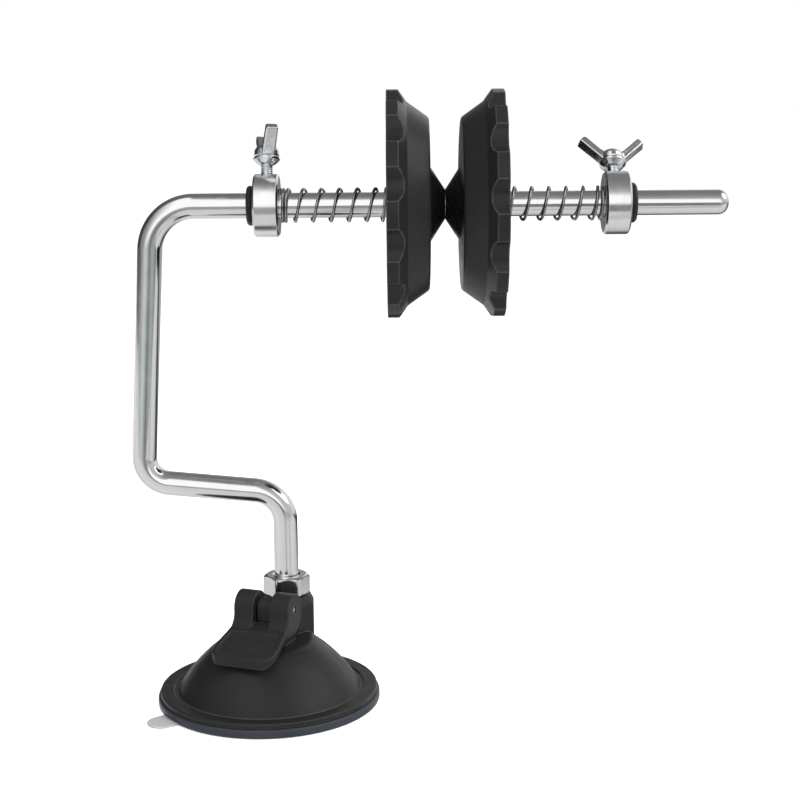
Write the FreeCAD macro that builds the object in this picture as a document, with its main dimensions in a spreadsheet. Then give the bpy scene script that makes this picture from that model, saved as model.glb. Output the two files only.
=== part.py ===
"""Fishing line winder: a bent steel rod on a lever suction base, with two sprung taper cones.

The origin is the centre of the suction face on the table. +Z is up and +X runs along the
shaft towards its free end. Lengths are millimetres and angles are degrees.
"""

import FreeCAD, Part
import math
import os
import Sketcher
from FreeCAD import Placement, Rotation, Vector

DRIVING_SIZES = {
    # the bent rod, drawn as four straight runs with a bend at each corner
    "rod_diameter": 10.0,
    "shaft_height": 199.25,
    "shaft_end": 185.6,
    "free_end_length": 37.0,
    "top_corner": -44.1,
    "mast_length": 112.2,
    "mast_lean": 3.53,
    "arm_slope": 5.35,
    "stub_foot": 22.5,
    "top_bend": 18.0,
    "lower_bend": 11.0,
    "stub_bend": 13.0,
    "shaft_end_round": 4.2,
    "stub_end_chamfer": 1.0,
    "running_gap": 0.05,
    # the base: the lever's mid-plane is turned from the shaft's by the yaw
    "base_yaw": 21.0,
    "stub_offset": 18.5,
    "cup_radius": 45.0,
    "cup_rim_height": 3.6,
    "cup_lip_width": 11.0,
    "cup_hollow": 3.9,
    "cup_membrane": 2.6,
    "cup_edge": 0.8,
    "cup_boss_radius": 13.0,
    "cup_boss_top": 10.8,
    "tab_angle": 214.0,
    "tab_reach": 48.5,
    "tab_half_width": 6.0,
    "tab_thickness": 0.8,
    "rim_radius": 44.0,
    "rim_underside": 3.7,
    "rim_top": 5.8,
    "rim_groove_outer": 38.6,
    "dome_foot_radius": 37.2,
    "dome_foot_height": 5.2,
    "dome_arc": 70.0,
    "dome_top_radius": 19.1,
    "dome_top": 24.8,
    "dome_wall": 2.6,
    "pad_height": 28.3,
    "pad_width": 20.0,
    "pad_depth": 11.0,
    "guide_width": 14.0,
    "guide_depth": 15.0,
    "guide_foot": 12.5,
    "neck_across": 22.0,
    "neck_top": 39.0,
    "neck_foot": 16.5,
    "neck_chamfer": 1.8,
    "insert_across": 13.0,
    "insert_foot": 19.5,
    "insert_flange_radius": 8.4,
    "insert_flange_height": 2.0,
    "dome_rib_width": 1.8,
    "dome_rib_count": 6,
    # the draw stem, its pin and the cam lever, which turns on the pin
    "pin_height": 38.6,
    "pin_radius": 1.5,
    "pin_length": 23.4,
    "stem_width": 6.6,
    "stem_depth": 8.0,
    "stem_corner": 1.5,
    "foot_radius": 8.0,
    "foot_bottom": 6.6,
    "foot_height": 2.0,
    "ear_radius": 6.4,
    "ear_drop": 10.2,
    "cam_radius": 8.6,
    "ear_gap": 7.2,
    "lever_width": 24.4,
    "paddle_width": 27.0,
    "paddle_reach": 27.0,
    "paddle_tip_drop": 13.0,
    "paddle_slope": 19.6,
    "paddle_thickness": 3.2,
    "paddle_lip": 4.4,
    "paddle_corner": 5.0,
    "paddle_fillet": 6.0,
    "paddle_border": 1.7,
    "paddle_dish": 0.5,
    # the lock nut
    "nut_across": 17.0,
    "nut_height": 8.4,
    "nut_turn": 7.3,
    # what rides on the shaft; the two cones meet nose to nose at the centre plane
    "centre_plane": 72.9,
    "nose_gap": 0.1,
    "cone_length": 23.1,
    "cone_radius": 45.0,
    "cone_rim": 4.7,
    "cone_shell": 2.3,
    "scoop_count": 12,
    "scoop_radius": 8.4,
    "scoop_centre": 50.1,
    "cone_rib_count": 6,
    "cone_rib_width": 1.6,
    "cone_edge": 1.5,
    "hub_radius": 9.0,
    "hub_recess": 1.5,
    "bush_radius": 6.2,
    "bush_length": 13.5,
    "washer_radius": 8.6,
    "washer_thickness": 0.8,
    "spring_wire": 1.2,
    "spring_radius": 6.4,
    "left_spring_length": 43.4,
    "right_spring_length": 40.5,
    "left_spring_turns": 8.3,
    "right_spring_turns": 7.3,
    "left_closed_turns": 1.6,
    "right_closed_turns": 0.6,
    "collar_radius": 12.5,
    "collar_width": 10.0,
    "collar_chamfer": 0.7,
    "o_ring_cord": 2.9,
    "screw_radius": 2.45,
    "screw_length": 13.7,
    "screw_ring_radius": 5.3,
    "screw_hub_radius": 4.8,
    "screw_hub_height": 5.6,
    "wing_thickness": 4.6,
    "wing_edge": 0.9,
    "left_lean": 14.5,
    "right_lean": 38.7,
    "left_screw_rise": 18.8,
    "right_screw_rise": 19.1,
    "left_wing_turn": -76.0,
    "right_wing_turn": 5.0,
    "left_scoop_turn": 16.7,
    "right_scoop_turn": 7.0,
}

STEPS_PER_TURN = 12
LAST_CLOSED_TURNS = 0.3

X_AXIS = Vector(1, 0, 0)
Y_AXIS = Vector(0, 1, 0)
Z_AXIS = Vector(0, 0, 1)

document = FreeCAD.newDocument("FishingLineWinder")
sheet = document.addObject("Spreadsheet::Sheet", "Dimensions")


class Size:
    """A length or angle: its value, and the sheet expression that gives it."""

    def __init__(self, value, text):
        self.value = value
        self.text = text

    def __add__(self, other):
        return Size(self.value + number(other), f"({self.text} + {words(other)})")

    def __radd__(self, other):
        return Size(number(other) + self.value, f"({words(other)} + {self.text})")

    def __sub__(self, other):
        return Size(self.value - number(other), f"({self.text} - {words(other)})")

    def __rsub__(self, other):
        return Size(number(other) - self.value, f"({words(other)} - {self.text})")

    def __mul__(self, other):
        return Size(self.value * number(other), f"({self.text} * {words(other)})")

    def __rmul__(self, other):
        return Size(number(other) * self.value, f"({words(other)} * {self.text})")

    def __truediv__(self, other):
        return Size(self.value / number(other), f"({self.text} / {words(other)})")

    def __neg__(self):
        return Size(-self.value, f"(-1 * {self.text})")


def number(value):
    """The plain value of a Size or number."""
    return value.value if isinstance(value, Size) else float(value)


def words(value):
    """The expression of a Size or number."""
    return value.text if isinstance(value, Size) else repr(float(value))


def sine(angle):
    return Size(math.sin(math.radians(number(angle))), f"sin({words(angle)})")


def cosine(angle):
    return Size(math.cos(math.radians(number(angle))), f"cos({words(angle)})")


def tangent(angle):
    return Size(math.tan(math.radians(number(angle))), f"tan({words(angle)})")


def fill_sheet():
    """Write the driving sizes, one to a row, each with its alias."""
    for row, (name, value) in enumerate(DRIVING_SIZES.items(), start=1):
        sheet.set(f"A{row}", name)
        sheet.set(f"B{row}", str(value))
        sheet.setAlias(f"B{row}", name)
    document.recompute()


def size(name):
    """The driving size of that name."""
    return Size(float(sheet.get(name)), f"Dimensions.{name}")


def bind(feature, **sizes):
    """Tie each named property of the feature to its expression."""
    for name, value in sizes.items():
        feature.setExpression(name, words(value))


def place(feature, x=0.0, y=0.0, z=0.0, rotation=Rotation()):
    """Turn the feature, and tie its position to expressions."""
    feature.Placement = Placement(Vector(number(x), number(y), number(z)), rotation)
    for axis, value in (("x", x), ("y", y), ("z", z)):
        feature.setExpression(f"Placement.Base.{axis}", words(value))


def base_turn():
    """The base's own frame has x to the lever's right and y towards the rod."""
    return Rotation(Z_AXIS, -number(size("base_yaw")))


def shaft_turn(side, lean=0.0, spin=0.0):
    """The turn from a shaft piece's own frame: its z points at the centre plane, its y is up.

    The side is 1 for the left set and -1 for the right. The lean tips the piece backwards
    about the shaft, and the spin turns it about its own z.
    """
    upright = Rotation(Vector(1, 1, 1), 120)
    facing = Rotation(Z_AXIS, 0 if side > 0 else 180)
    return Rotation(X_AXIS, -number(lean)) * facing * upright * Rotation(Z_AXIS, number(spin))


def new_body(name):
    body = document.addObject("PartDesign::Body", name)
    body.Label = name
    return body


def origin_part(body, role):
    """The origin plane or axis of that role in the body."""
    return next(part for part in body.Origin.OriginFeatures if part.Role == role)


def new_sketch(body, name, role, offset=None):
    """An empty sketch on one of the body's origin planes."""
    sketch = body.newObject("Sketcher::SketchObject", f"{body.Name}_{name}")
    sketch.AttachmentSupport = [(origin_part(body, role), "")]
    sketch.MapMode = "FlatFace"
    if offset is not None:
        sketch.AttachmentOffset = offset
    return sketch


def pin_point(sketch, edge, end, x, y):
    """Fix one end of an edge at (x, y), as distances from the sketch's origin."""
    for kind, value, axis in (("DistanceX", x, -2), ("DistanceY", y, -1)):
        if isinstance(value, Size):
            fixed = sketch.addConstraint(Sketcher.Constraint(kind, -1, 1, edge, end, value.value))
            sketch.setExpression(f"Constraints[{fixed}]", value.text)
        elif value == 0:
            sketch.addConstraint(Sketcher.Constraint("PointOnObject", edge, end, axis))
        else:
            sketch.addConstraint(Sketcher.Constraint(kind, -1, 1, edge, end, value))


def arc_between(start, finish, radius):
    """The minor arc from start to finish, bulging left of the way when radius is positive."""
    chord = finish - start
    middle = (start + finish) * 0.5
    right = Vector(chord.y, -chord.x, 0).normalize()
    depth = math.sqrt(max(radius**2 - chord.Length**2 / 4, 0.0))
    bulge_side = -1 if radius > 0 else 1
    centre = middle - right * bulge_side * depth
    first, last = (finish, start) if radius > 0 else (start, finish)
    angles = [math.atan2(point.y - centre.y, point.x - centre.x) for point in (first, last)]
    if angles[1] < angles[0]:
        angles[1] += 2 * math.pi
    return Part.ArcOfCircle(Part.Circle(centre, Z_AXIS, abs(radius)), *angles)


def outline(sketch, corners, closed=True):
    """Draw and dimension a run of lines and arcs.

    Each corner is (x, y), or (x, y, radius) where an arc leads to the next corner.
    """
    points = [Vector(number(corner[0]), number(corner[1]), 0) for corner in corners]
    count = len(corners) if closed else len(corners) - 1
    ends = []
    for index in range(count):
        corner = corners[index]
        start, finish = points[index], points[(index + 1) % len(points)]
        if len(corner) == 3:
            radius = corner[2]
            edge = sketch.addGeometry(arc_between(start, finish, number(radius)))
            rounded = sketch.addConstraint(Sketcher.Constraint("Radius", edge, abs(number(radius))))
            if isinstance(radius, Size):
                text = radius.text if radius.value > 0 else f"-1 * {radius.text}"
                sketch.setExpression(f"Constraints[{rounded}]", text)
            ends.append((edge, 2, 1) if number(radius) > 0 else (edge, 1, 2))
        else:
            edge = sketch.addGeometry(Part.LineSegment(start, finish))
            ends.append((edge, 1, 2))
    for (edge, _, finish_end), (following, start_end, _) in zip(ends, ends[1:] + ends[:1]):
        if closed or edge != ends[-1][0]:
            sketch.addConstraint(
                Sketcher.Constraint("Coincident", edge, finish_end, following, start_end))
    for (edge, start_end, _), corner in zip(ends, corners):
        pin_point(sketch, edge, start_end, corner[0], corner[1])
    if not closed:
        pin_point(sketch, ends[-1][0], ends[-1][2], corners[-1][0], corners[-1][1])


def circle(sketch, radius, x=0.0, y=0.0):
    """Draw a circle with its centre and radius dimensioned."""
    centre = Vector(number(x), number(y), 0)
    edge = sketch.addGeometry(Part.Circle(centre, Z_AXIS, number(radius)))
    rounded = sketch.addConstraint(Sketcher.Constraint("Radius", edge, number(radius)))
    sketch.setExpression(f"Constraints[{rounded}]", words(radius))
    pin_point(sketch, edge, 3, x, y)


def polygon_corners(across, sides, x=0.0, y=0.0, turn=0.0):
    """Corners of a regular polygon, given the distance across its flats."""
    reach = across / (2 * cosine(180 / sides))
    return [(x + reach * cosine(turn + step * 360 / sides), y + reach * sine(turn + step * 360 / sides))
            for step in range(sides)]


def rectangle(sketch, width, depth, x=0.0, y=0.0):
    """Draw a rectangle centred on (x, y)."""
    right, left = x + width / 2, x - width / 2
    top, bottom = y + depth / 2, y - depth / 2
    outline(sketch, [(left, bottom), (right, bottom), (right, top), (left, top)])


def pad(sketch, length, symmetric=False, reverse=False):
    body = sketch.getParentGeoFeatureGroup()
    feature = body.newObject("PartDesign::Pad", f"{sketch.Name}_pad")
    feature.Profile = sketch
    bind(feature, Length=length)
    feature.Reversed = reverse
    if symmetric:
        feature.SideType = "Symmetric"
    return feature


def cut(sketch, length, symmetric=False, reverse=False):
    """Pocket the sketch, and check that it takes material away."""
    body = sketch.getParentGeoFeatureGroup()
    document.recompute()
    before = body.Shape.Volume
    feature = body.newObject("PartDesign::Pocket", f"{sketch.Name}_pocket")
    feature.Profile = sketch
    bind(feature, Length=length)
    feature.Reversed = reverse
    if symmetric:
        feature.SideType = "Symmetric"
    document.recompute()
    if not body.Shape.Volume < before - 1e-6:
        raise ValueError(f"{feature.Name} takes nothing away")
    return feature


def turn_solid(sketch, kind="PartDesign::Revolution"):
    """Revolve the sketch, or groove with it, about its own vertical axis."""
    body = sketch.getParentGeoFeatureGroup()
    feature = body.newObject(kind, f"{sketch.Name}_turned")
    feature.Profile = sketch
    feature.ReferenceAxis = (sketch, ["V_Axis"])
    feature.Angle = 360
    return feature


def polar(feature, count):
    """Repeat the feature around the body's own z axis."""
    body = feature.getParentGeoFeatureGroup()
    pattern = body.newObject("PartDesign::PolarPattern", f"{feature.Name}_around")
    pattern.Originals = [feature]
    pattern.Axis = (origin_part(body, "Z_Axis"), [""])
    pattern.Angle = 360
    bind(pattern, Occurrences=count)
    body.Tip = pattern
    return pattern


def dress(body, kind, amount, chosen):
    """Fillet or chamfer the edges of the body for which chosen(edge) holds."""
    document.recompute()
    base = body.Tip
    names = [f"Edge{index}" for index, edge in enumerate(base.Shape.Edges, start=1) if chosen(edge)]
    if not names:
        raise ValueError(f"no edge of {body.Name} to dress")
    feature = body.newObject(f"PartDesign::{kind}", f"{base.Name}_{kind.lower()}")
    feature.Base = (base, names)
    bind(feature, **{"Radius" if kind == "Fillet" else "Size": amount})
    body.Tip = feature
    document.recompute()
    return feature


def is_ring(edge, radius, z=None):
    """Is the edge a circle of that radius, and at that z when one is given?"""
    curve = edge.Curve
    same = isinstance(curve, Part.Circle) and abs(curve.Radius - number(radius)) < 1e-3
    return same and (z is None or abs(curve.Center.z - number(z)) < 1e-3)


def make_bent_rod():
    """One bar: shaft, mast, lower arm and stub, all in the shaft's vertical plane."""
    height = size("shaft_height")
    lean, slope = size("mast_lean"), size("arm_slope")
    stub = size("stub_offset") * sine(size("base_yaw"))
    top = (size("top_corner"), height)
    low = (top[0] - size("mast_length") * sine(lean), height - size("mast_length") * cosine(lean))
    knee = (stub, low[1] - (stub - low[0]) * tangent(slope))
    top_run = size("top_bend") * tangent((90 - lean) / 2)
    low_run = size("lower_bend") * tangent((90 - slope + lean) / 2)
    knee_run = size("stub_bend") * tangent((90 - slope) / 2)

    body = new_body("bent_rod")
    path = new_sketch(body, "path", "XZ_Plane")
    outline(path, [
        (size("shaft_end"), height),
        (size("shaft_end") - size("free_end_length"), height),
        (top[0] + top_run, height, -size("top_bend")),
        (top[0] - top_run * sine(lean), top[1] - top_run * cosine(lean)),
        (low[0] + low_run * sine(lean), low[1] + low_run * cosine(lean), -size("lower_bend")),
        (low[0] + low_run * cosine(slope), low[1] - low_run * sine(slope)),
        (knee[0] - knee_run * cosine(slope), knee[1] + knee_run * sine(slope), size("stub_bend")),
        (stub, knee[1] - knee_run),
        (stub, size("stub_foot")),
    ], closed=False)
    section = new_sketch(body, "section", "YZ_Plane")
    section.setExpression("AttachmentOffset.Base.z", words(size("shaft_end")))
    circle(section, size("rod_diameter") / 2, 0.0, height)
    pipe = body.newObject("PartDesign::AdditivePipe", "bent_rod_pipe")
    pipe.Profile = section
    pipe.Spine = path
    pipe.Transition = "Transformed"
    pipe.Refine = False
    rod = size("rod_diameter") / 2

    def at_shaft_end(edge):
        return is_ring(edge, rod) and abs(edge.Curve.Center.x - number(size("shaft_end"))) < 1e-3

    dress(body, "Fillet", size("shaft_end_round"), at_shaft_end)
    dress(body, "Chamfer", size("stub_end_chamfer"), lambda edge: is_ring(edge, rod, size("stub_foot")))
    place(body, y=size("stub_offset") * cosine(size("base_yaw")))
    return body


def make_suction_cup():
    """The soft disc: a flat sealing lip, a shallow hollow and a boss that grips the stem's foot."""
    rim, radius = size("cup_rim_height"), size("cup_radius")
    membrane, gap, edge = size("cup_membrane"), size("running_gap"), size("cup_edge")
    lip = radius - size("cup_lip_width")
    hollow, boss, boss_top = size("cup_hollow"), size("cup_boss_radius"), size("cup_boss_top")
    foot_radius, foot = size("foot_radius"), size("foot_bottom")
    foot_top = foot + size("foot_height")
    bore = size("stem_depth") / 2 + 1.5
    roof = (lip * lip + hollow * hollow) / (2 * hollow)
    shoulder = size("dome_foot_radius") - size("dome_wall")

    body = new_body("suction_cup")
    profile = new_sketch(body, "profile", "XZ_Plane")
    outline(profile, [
        (0, hollow, roof),
        (lip, 0),
        (radius - edge, 0, -edge),
        (radius, edge),
        (radius, rim - edge),
        (radius - edge, rim),
        (shoulder - 1.5, rim),
        (boss + 6, hollow + membrane - 0.2),
        (boss, boss_top - 1.2),
        (boss - 1.2, boss_top),
        (bore, boss_top),
        (bore, foot_top + gap),
        (foot_radius + gap, foot_top + gap),
        (foot_radius + gap, foot - gap),
        (0, foot - gap),
    ])
    turn_solid(profile)
    slot = new_sketch(body, "tab_slot", "XY_Plane")
    outline(slot, tab_corners(gap))
    cut(slot, size("tab_thickness"), reverse=True)
    place(body, rotation=Rotation(Z_AXIS, number(size("tab_angle"))))
    return body


def tab_corners(gap=0.0):
    """The tab's plan: it starts under the rim and ends in a half-round."""
    half, reach = size("tab_half_width") + gap, size("tab_reach")
    root = size("cup_radius") - 6
    return [(root, -half), (reach, -half, -half), (reach + half, 0, -half), (reach, half), (root, half)]


def make_release_tab():
    """A clear strip bonded into the lip, pulled to break the seal."""
    body = new_body("release_tab")
    plan = new_sketch(body, "plan", "XY_Plane")
    outline(plan, tab_corners())
    pad(plan, size("tab_thickness"))
    place(body, rotation=Rotation(Z_AXIS, number(size("tab_angle"))))
    return body


def make_dome_housing():
    """The moulded shell: rim, dome, bearing pad for the cam, stem guide and neck for the rod."""
    rim, under, rim_top = size("rim_radius"), size("rim_underside"), size("rim_top")
    wall, groove = size("dome_wall"), size("rim_groove_outer")
    foot, foot_height = size("dome_foot_radius"), size("dome_foot_height")
    top_radius, top = size("dome_top_radius"), size("dome_top")
    arc, gap = size("dome_arc"), size("running_gap")
    neck_y = size("stub_offset")

    body = new_body("dome_housing")
    shell = new_sketch(body, "shell", "XZ_Plane")
    outline(shell, [
        (foot - wall, under),
        (rim - 0.3, under),
        (rim, under + 0.3),
        (rim, rim_top - 0.5),
        (rim - 0.5, rim_top),
        (groove, rim_top),
        (groove, foot_height),
        (foot, foot_height, -arc),
        (top_radius, top),
        (0, top),
        (0, top - wall),
        (top_radius - wall, top - wall, arc - wall),
    ])
    turn_solid(shell)

    neck = new_sketch(body, "neck", "XY_Plane")
    neck.setExpression("AttachmentOffset.Base.z", words(size("neck_foot")))
    outline(neck, polygon_corners(size("neck_across"), 8, 0.0, neck_y))
    pad(neck, size("neck_top") - size("neck_foot"))

    def on_neck_top(edge):
        flat = all(abs(vertex.Z - number(size("neck_top"))) < 1e-3 for vertex in edge.Vertexes)
        return flat and len(edge.Vertexes) == 2

    dress(body, "Chamfer", size("neck_chamfer"), on_neck_top)

    pad_sketch = new_sketch(body, "cam_pad", "XY_Plane")
    pad_sketch.setExpression("AttachmentOffset.Base.z", words(top - wall))
    rectangle(pad_sketch, size("pad_width"), size("pad_depth"))
    pad(pad_sketch, size("pad_height") - top + wall)

    guide = new_sketch(body, "guide", "XY_Plane")
    guide.setExpression("AttachmentOffset.Base.z", words(size("guide_foot")))
    rectangle(guide, size("guide_width"), size("guide_depth"))
    pad(guide, top - wall - size("guide_foot") + 0.5)

    rib = new_sketch(body, "rib", "XZ_Plane")
    outline(rib, [
        (6.5, size("guide_foot")),
        (14, size("guide_foot")),
        (foot - wall - 3.5, under + 5.5),
        (foot - wall + 0.2, under + 2.2),
        (top_radius + 0.4, top - wall),
        (6.5, top - wall + 0.5),
    ])
    polar(pad(rib, size("dome_rib_width"), symmetric=True), size("dome_rib_count"))

    slot = new_sketch(body, "stem_slot", "XY_Plane")
    rectangle(slot, size("stem_width") + 2 * gap, size("stem_depth") + 2 * gap)
    cut(slot, size("neck_top"), reverse=True)

    socket = new_sketch(body, "insert_socket", "XY_Plane")
    socket.setExpression("AttachmentOffset.Base.z", words(size("neck_top")))
    outline(socket, polygon_corners(size("insert_across"), 6, 0.0, neck_y))
    cut(socket, size("neck_top") - size("insert_foot"))
    flange = new_sketch(body, "flange_socket", "XY_Plane")
    flange.setExpression("AttachmentOffset.Base.z", words(size("insert_foot")))
    circle(flange, size("insert_flange_radius"), 0.0, neck_y)
    cut(flange, size("insert_flange_height"), reverse=True)
    place(body, rotation=base_turn())
    return body


def make_threaded_insert():
    """The brass insert moulded into the neck, which takes the rod's threaded stub."""
    body = new_body("threaded_insert")
    hexagon = new_sketch(body, "hexagon", "XY_Plane")
    outline(hexagon, polygon_corners(size("insert_across"), 6))
    pad(hexagon, size("neck_top") - size("insert_foot"))
    flange = new_sketch(body, "flange", "XY_Plane")
    circle(flange, size("insert_flange_radius"))
    pad(flange, size("insert_flange_height"))
    bore = new_sketch(body, "bore", "XY_Plane")
    circle(bore, size("rod_diameter") / 2 + size("running_gap"))
    cut(bore, size("neck_top"), reverse=True)
    yaw, offset = size("base_yaw"), size("stub_offset")
    place(body, offset * sine(yaw), offset * cosine(yaw), size("insert_foot"), base_turn())
    return body


def make_cup_stem():
    """The flat stem that draws the cup up: a foot in the rubber and an eye for the pin."""
    width, depth = size("stem_width"), size("stem_depth")
    pin_z, foot = size("pin_height"), size("foot_bottom")

    body = new_body("cup_stem")
    blade = new_sketch(body, "blade", "YZ_Plane")
    outline(blade, [
        (-depth / 2, foot + 1),
        (depth / 2, foot + 1),
        (depth / 2, pin_z, -depth / 2),
        (0, pin_z + depth / 2, -depth / 2),
        (-depth / 2, pin_z),
    ])
    pad(blade, width, symmetric=True)

    def upright(edge):
        return len(edge.Vertexes) == 2 and abs(edge.Vertexes[0].Z - edge.Vertexes[1].Z) > 20

    dress(body, "Fillet", size("stem_corner"), upright)
    plate = new_sketch(body, "plate", "XY_Plane")
    plate.setExpression("AttachmentOffset.Base.z", words(foot))
    circle(plate, size("foot_radius"))
    pad(plate, size("foot_height"))
    eye = new_sketch(body, "eye", "YZ_Plane")
    circle(eye, size("pin_radius"), 0.0, pin_z)
    cut(eye, width * 2, symmetric=True)
    place(body, rotation=base_turn())
    return body


def make_lever_pin():
    """The steel pin through the stem's eye and both ears."""
    pin = document.addObject("Part::Cylinder", "lever_pin_bar")
    bind(pin, Radius=size("pin_radius"), Height=size("pin_length"))
    document.recompute()
    ends = document.addObject("Part::Chamfer", "lever_pin")
    ends.Label = "lever_pin"
    ends.Base = pin
    ends.Edges = [(index, 0.3, 0.3) for index, edge in enumerate(pin.Shape.Edges, start=1)
                  if isinstance(edge.Curve, Part.Circle)]
    yaw, half = size("base_yaw"), size("pin_length") / 2
    turn = base_turn() * Rotation(Y_AXIS, 90)
    place(ends, -half * cosine(yaw), half * sine(yaw), size("pin_height"), turn)
    return ends


def make_cam_lever():
    """Two cam ears on the pin, joined in front of the stem by the dished paddle."""
    ear, drop, cam = size("ear_radius"), size("ear_drop"), size("cam_radius")
    reach, tip = size("paddle_reach"), size("paddle_tip_drop")
    slope, thick = size("paddle_slope"), size("paddle_thickness")
    half, tip_half = size("lever_width") / 2, size("paddle_width") / 2
    corner, fillet = size("paddle_corner"), size("paddle_fillet")
    web_back = size("stem_depth") / 2 + 0.7

    def top_at(y):
        return -tip + (reach + y) * tangent(slope)

    def under_at(y):
        return top_at(y) - thick

    body = new_body("cam_lever")
    side = new_sketch(body, "side", "YZ_Plane")
    run = fillet * tangent((90 - slope) / 2)
    knee = top_at(-ear)
    outline(side, [
        (ear, 0, -ear),
        (0, ear, -ear),
        (-ear, 0),
        (-ear, knee + run, fillet),
        (-ear - run * cosine(slope), knee - run * sine(slope)),
        (-reach, -tip),
        (-reach, -tip - size("paddle_lip")),
        (-reach + 2.2, under_at(-reach + 2.2)),
        (-reach + (drop + under_at(-reach)) * -1 / tangent(slope), -drop),
        (ear - cam, -drop, -cam),
        (ear, cam - drop),
    ])
    pad(side, size("paddle_width") + 2, symmetric=True)

    plan = new_sketch(body, "plan", "XY_Plane")
    outline(plan, [(-40, -40), (40, -40), (40, 20), (-40, 20)])
    outline(plan, [
        (half, ear + 1),
        (-half, ear + 1),
        (-half, -ear - 2),
        (-tip_half, -reach + corner + 4),
        (-tip_half, -reach + corner, -corner),
        (corner - tip_half, -reach + 0.4),
        (0, -reach),
        (tip_half - corner, -reach + 0.4, -corner),
        (tip_half, -reach + corner),
        (tip_half, -reach + corner + 4),
        (half, -ear - 2),
    ])
    cut(plan, 60, symmetric=True)

    slot = new_sketch(body, "stem_gap", "YZ_Plane")
    outline(slot, [
        (ear + 1, -drop - 1),
        (ear + 1, ear + 1),
        (-ear - 12, ear + 1),
        (-ear - 12, top_at(-ear - 12)),
        (-web_back, top_at(-web_back)),
        (-web_back, -drop - 1),
    ])
    cut(slot, size("ear_gap"), symmetric=True)
    bore = new_sketch(body, "bore", "YZ_Plane")
    circle(bore, size("pin_radius") + size("running_gap"))
    cut(bore, size("paddle_width") * 2, symmetric=True)

    border, inner_corner = size("paddle_border"), corner - size("paddle_border")
    on_slope = Placement(Vector(0, -number(reach), -number(tip)), Rotation(X_AXIS, number(slope)))
    dish = new_sketch(body, "dish", "XY_Plane", on_slope)
    dish_back = (reach - ear - run) / cosine(slope)
    outline(dish, [
        (half - border, dish_back),
        (border - half, dish_back),
        (border - tip_half, corner + 4),
        (border - tip_half, border + inner_corner, -inner_corner),
        (corner - tip_half, border),
        (tip_half - corner, border, -inner_corner),
        (tip_half - border, border + inner_corner),
        (tip_half - border, corner + 4),
    ])
    cut(dish, size("paddle_dish"))
    place(body, z=size("pin_height"), rotation=base_turn())
    return body


def make_lock_nut():
    """The hexagon nut that jams against the neck and holds the rod's direction."""
    height, across = size("nut_height"), size("nut_across")
    body = new_body("lock_nut")
    hexagon = new_sketch(body, "hexagon", "XY_Plane")
    outline(hexagon, polygon_corners(across, 6))
    pad(hexagon, height)
    bore = new_sketch(body, "bore", "XY_Plane")
    circle(bore, size("rod_diameter") / 2 + size("running_gap"))
    cut(bore, height, reverse=True)
    rim = across / 2 - 0.3
    crown = new_sketch(body, "crown", "XZ_Plane")
    outline(crown, [(rim, height + 0.01), (rim + 4, height - 4 * tangent(30)), (rim + 4, height + 0.01)])
    turn_solid(crown, "PartDesign::Groove")
    seat = new_sketch(body, "seat", "XZ_Plane")
    outline(seat, [(rim, -0.01), (rim + 4, -0.01), (rim + 4, 4 * tangent(30))])
    turn_solid(seat, "PartDesign::Groove")
    yaw, offset = size("base_yaw"), size("stub_offset")
    turn = Rotation(Z_AXIS, number(size("nut_turn")))
    place(body, offset * sine(yaw), offset * cosine(yaw), size("neck_top") + size("running_gap"), turn)
    return body


def shaft_y():
    return size("stub_offset") * cosine(size("base_yaw"))


def back_of_cone(side):
    """The x of a cone's back plane."""
    return size("centre_plane") - side * (size("cone_length") + size("nose_gap") / 2)


def make_taper_cone(label, side):
    """A hollow moulded cone with a scooped rim, which centres a reel of line on the shaft."""
    radius, rim, shell = size("cone_radius"), size("cone_rim"), size("cone_shell")
    hub, recess = size("hub_radius"), size("hub_recess")
    bush, bore = size("bush_radius"), size("rod_diameter") / 2 + size("running_gap")
    bush_end = recess + size("bush_length")
    length = size("cone_length")
    face, face_edge = length - 5.9, radius - 11

    body = new_body(f"{label}_taper_cone")
    profile = new_sketch(body, "profile", "XZ_Plane")
    outline(profile, [
        (bush, recess),
        (hub, recess),
        (hub, face - shell),
        (face_edge - 1.3, face - shell),
        (radius - 6.5, rim + 1.3),
        (radius - 6.5, 0),
        (radius - 0.5, 0),
        (radius, 0.5),
        (radius, rim),
        (radius - 4.3, rim + 2.7),
        (face_edge + 0.9, face - 1.1, -size("cone_edge")),
        (face_edge - 0.3, face),
        (15, face),
        (14.6, face + 0.8),
        (5.9, length),
        (bore, length),
        (bore, bush_end),
        (bush, bush_end),
    ])
    turn_solid(profile)

    rib = new_sketch(body, "rib", "XZ_Plane")
    outline(rib, [
        (hub - 0.5, 4),
        (radius - 6.3, 4),
        (radius - 6.3, rim + 1.5),
        (face_edge - 1.2, face - shell + 0.3),
        (hub - 0.5, face - shell + 0.3),
    ])
    polar(pad(rib, size("cone_rib_width"), symmetric=True), size("cone_rib_count"))

    scoop = new_sketch(body, "scoop", "XY_Plane")
    circle(scoop, size("scoop_radius"), size("scoop_centre"), 0.0)
    polar(cut(scoop, length, reverse=True), size("scoop_count"))
    turn = shaft_turn(side, spin=size(f"{label}_scoop_turn"))
    place(body, back_of_cone(side), shaft_y(), size("shaft_height"), turn)
    return body


def make_tube(name, outer, inner, length, side, x):
    """A plain ring on the shaft: a thrust washer or the cone's bush."""
    outside = document.addObject("Part::Cylinder", f"{name}_outside")
    bind(outside, Radius=outer, Height=length)
    inside = document.addObject("Part::Cylinder", f"{name}_inside")
    bind(inside, Radius=inner, Height=length)
    tube = document.addObject("Part::Cut", name)
    tube.Label = name
    tube.Base, tube.Tool = outside, inside
    place(tube, x, shaft_y(), size("shaft_height"), shaft_turn(side))
    return tube


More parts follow.
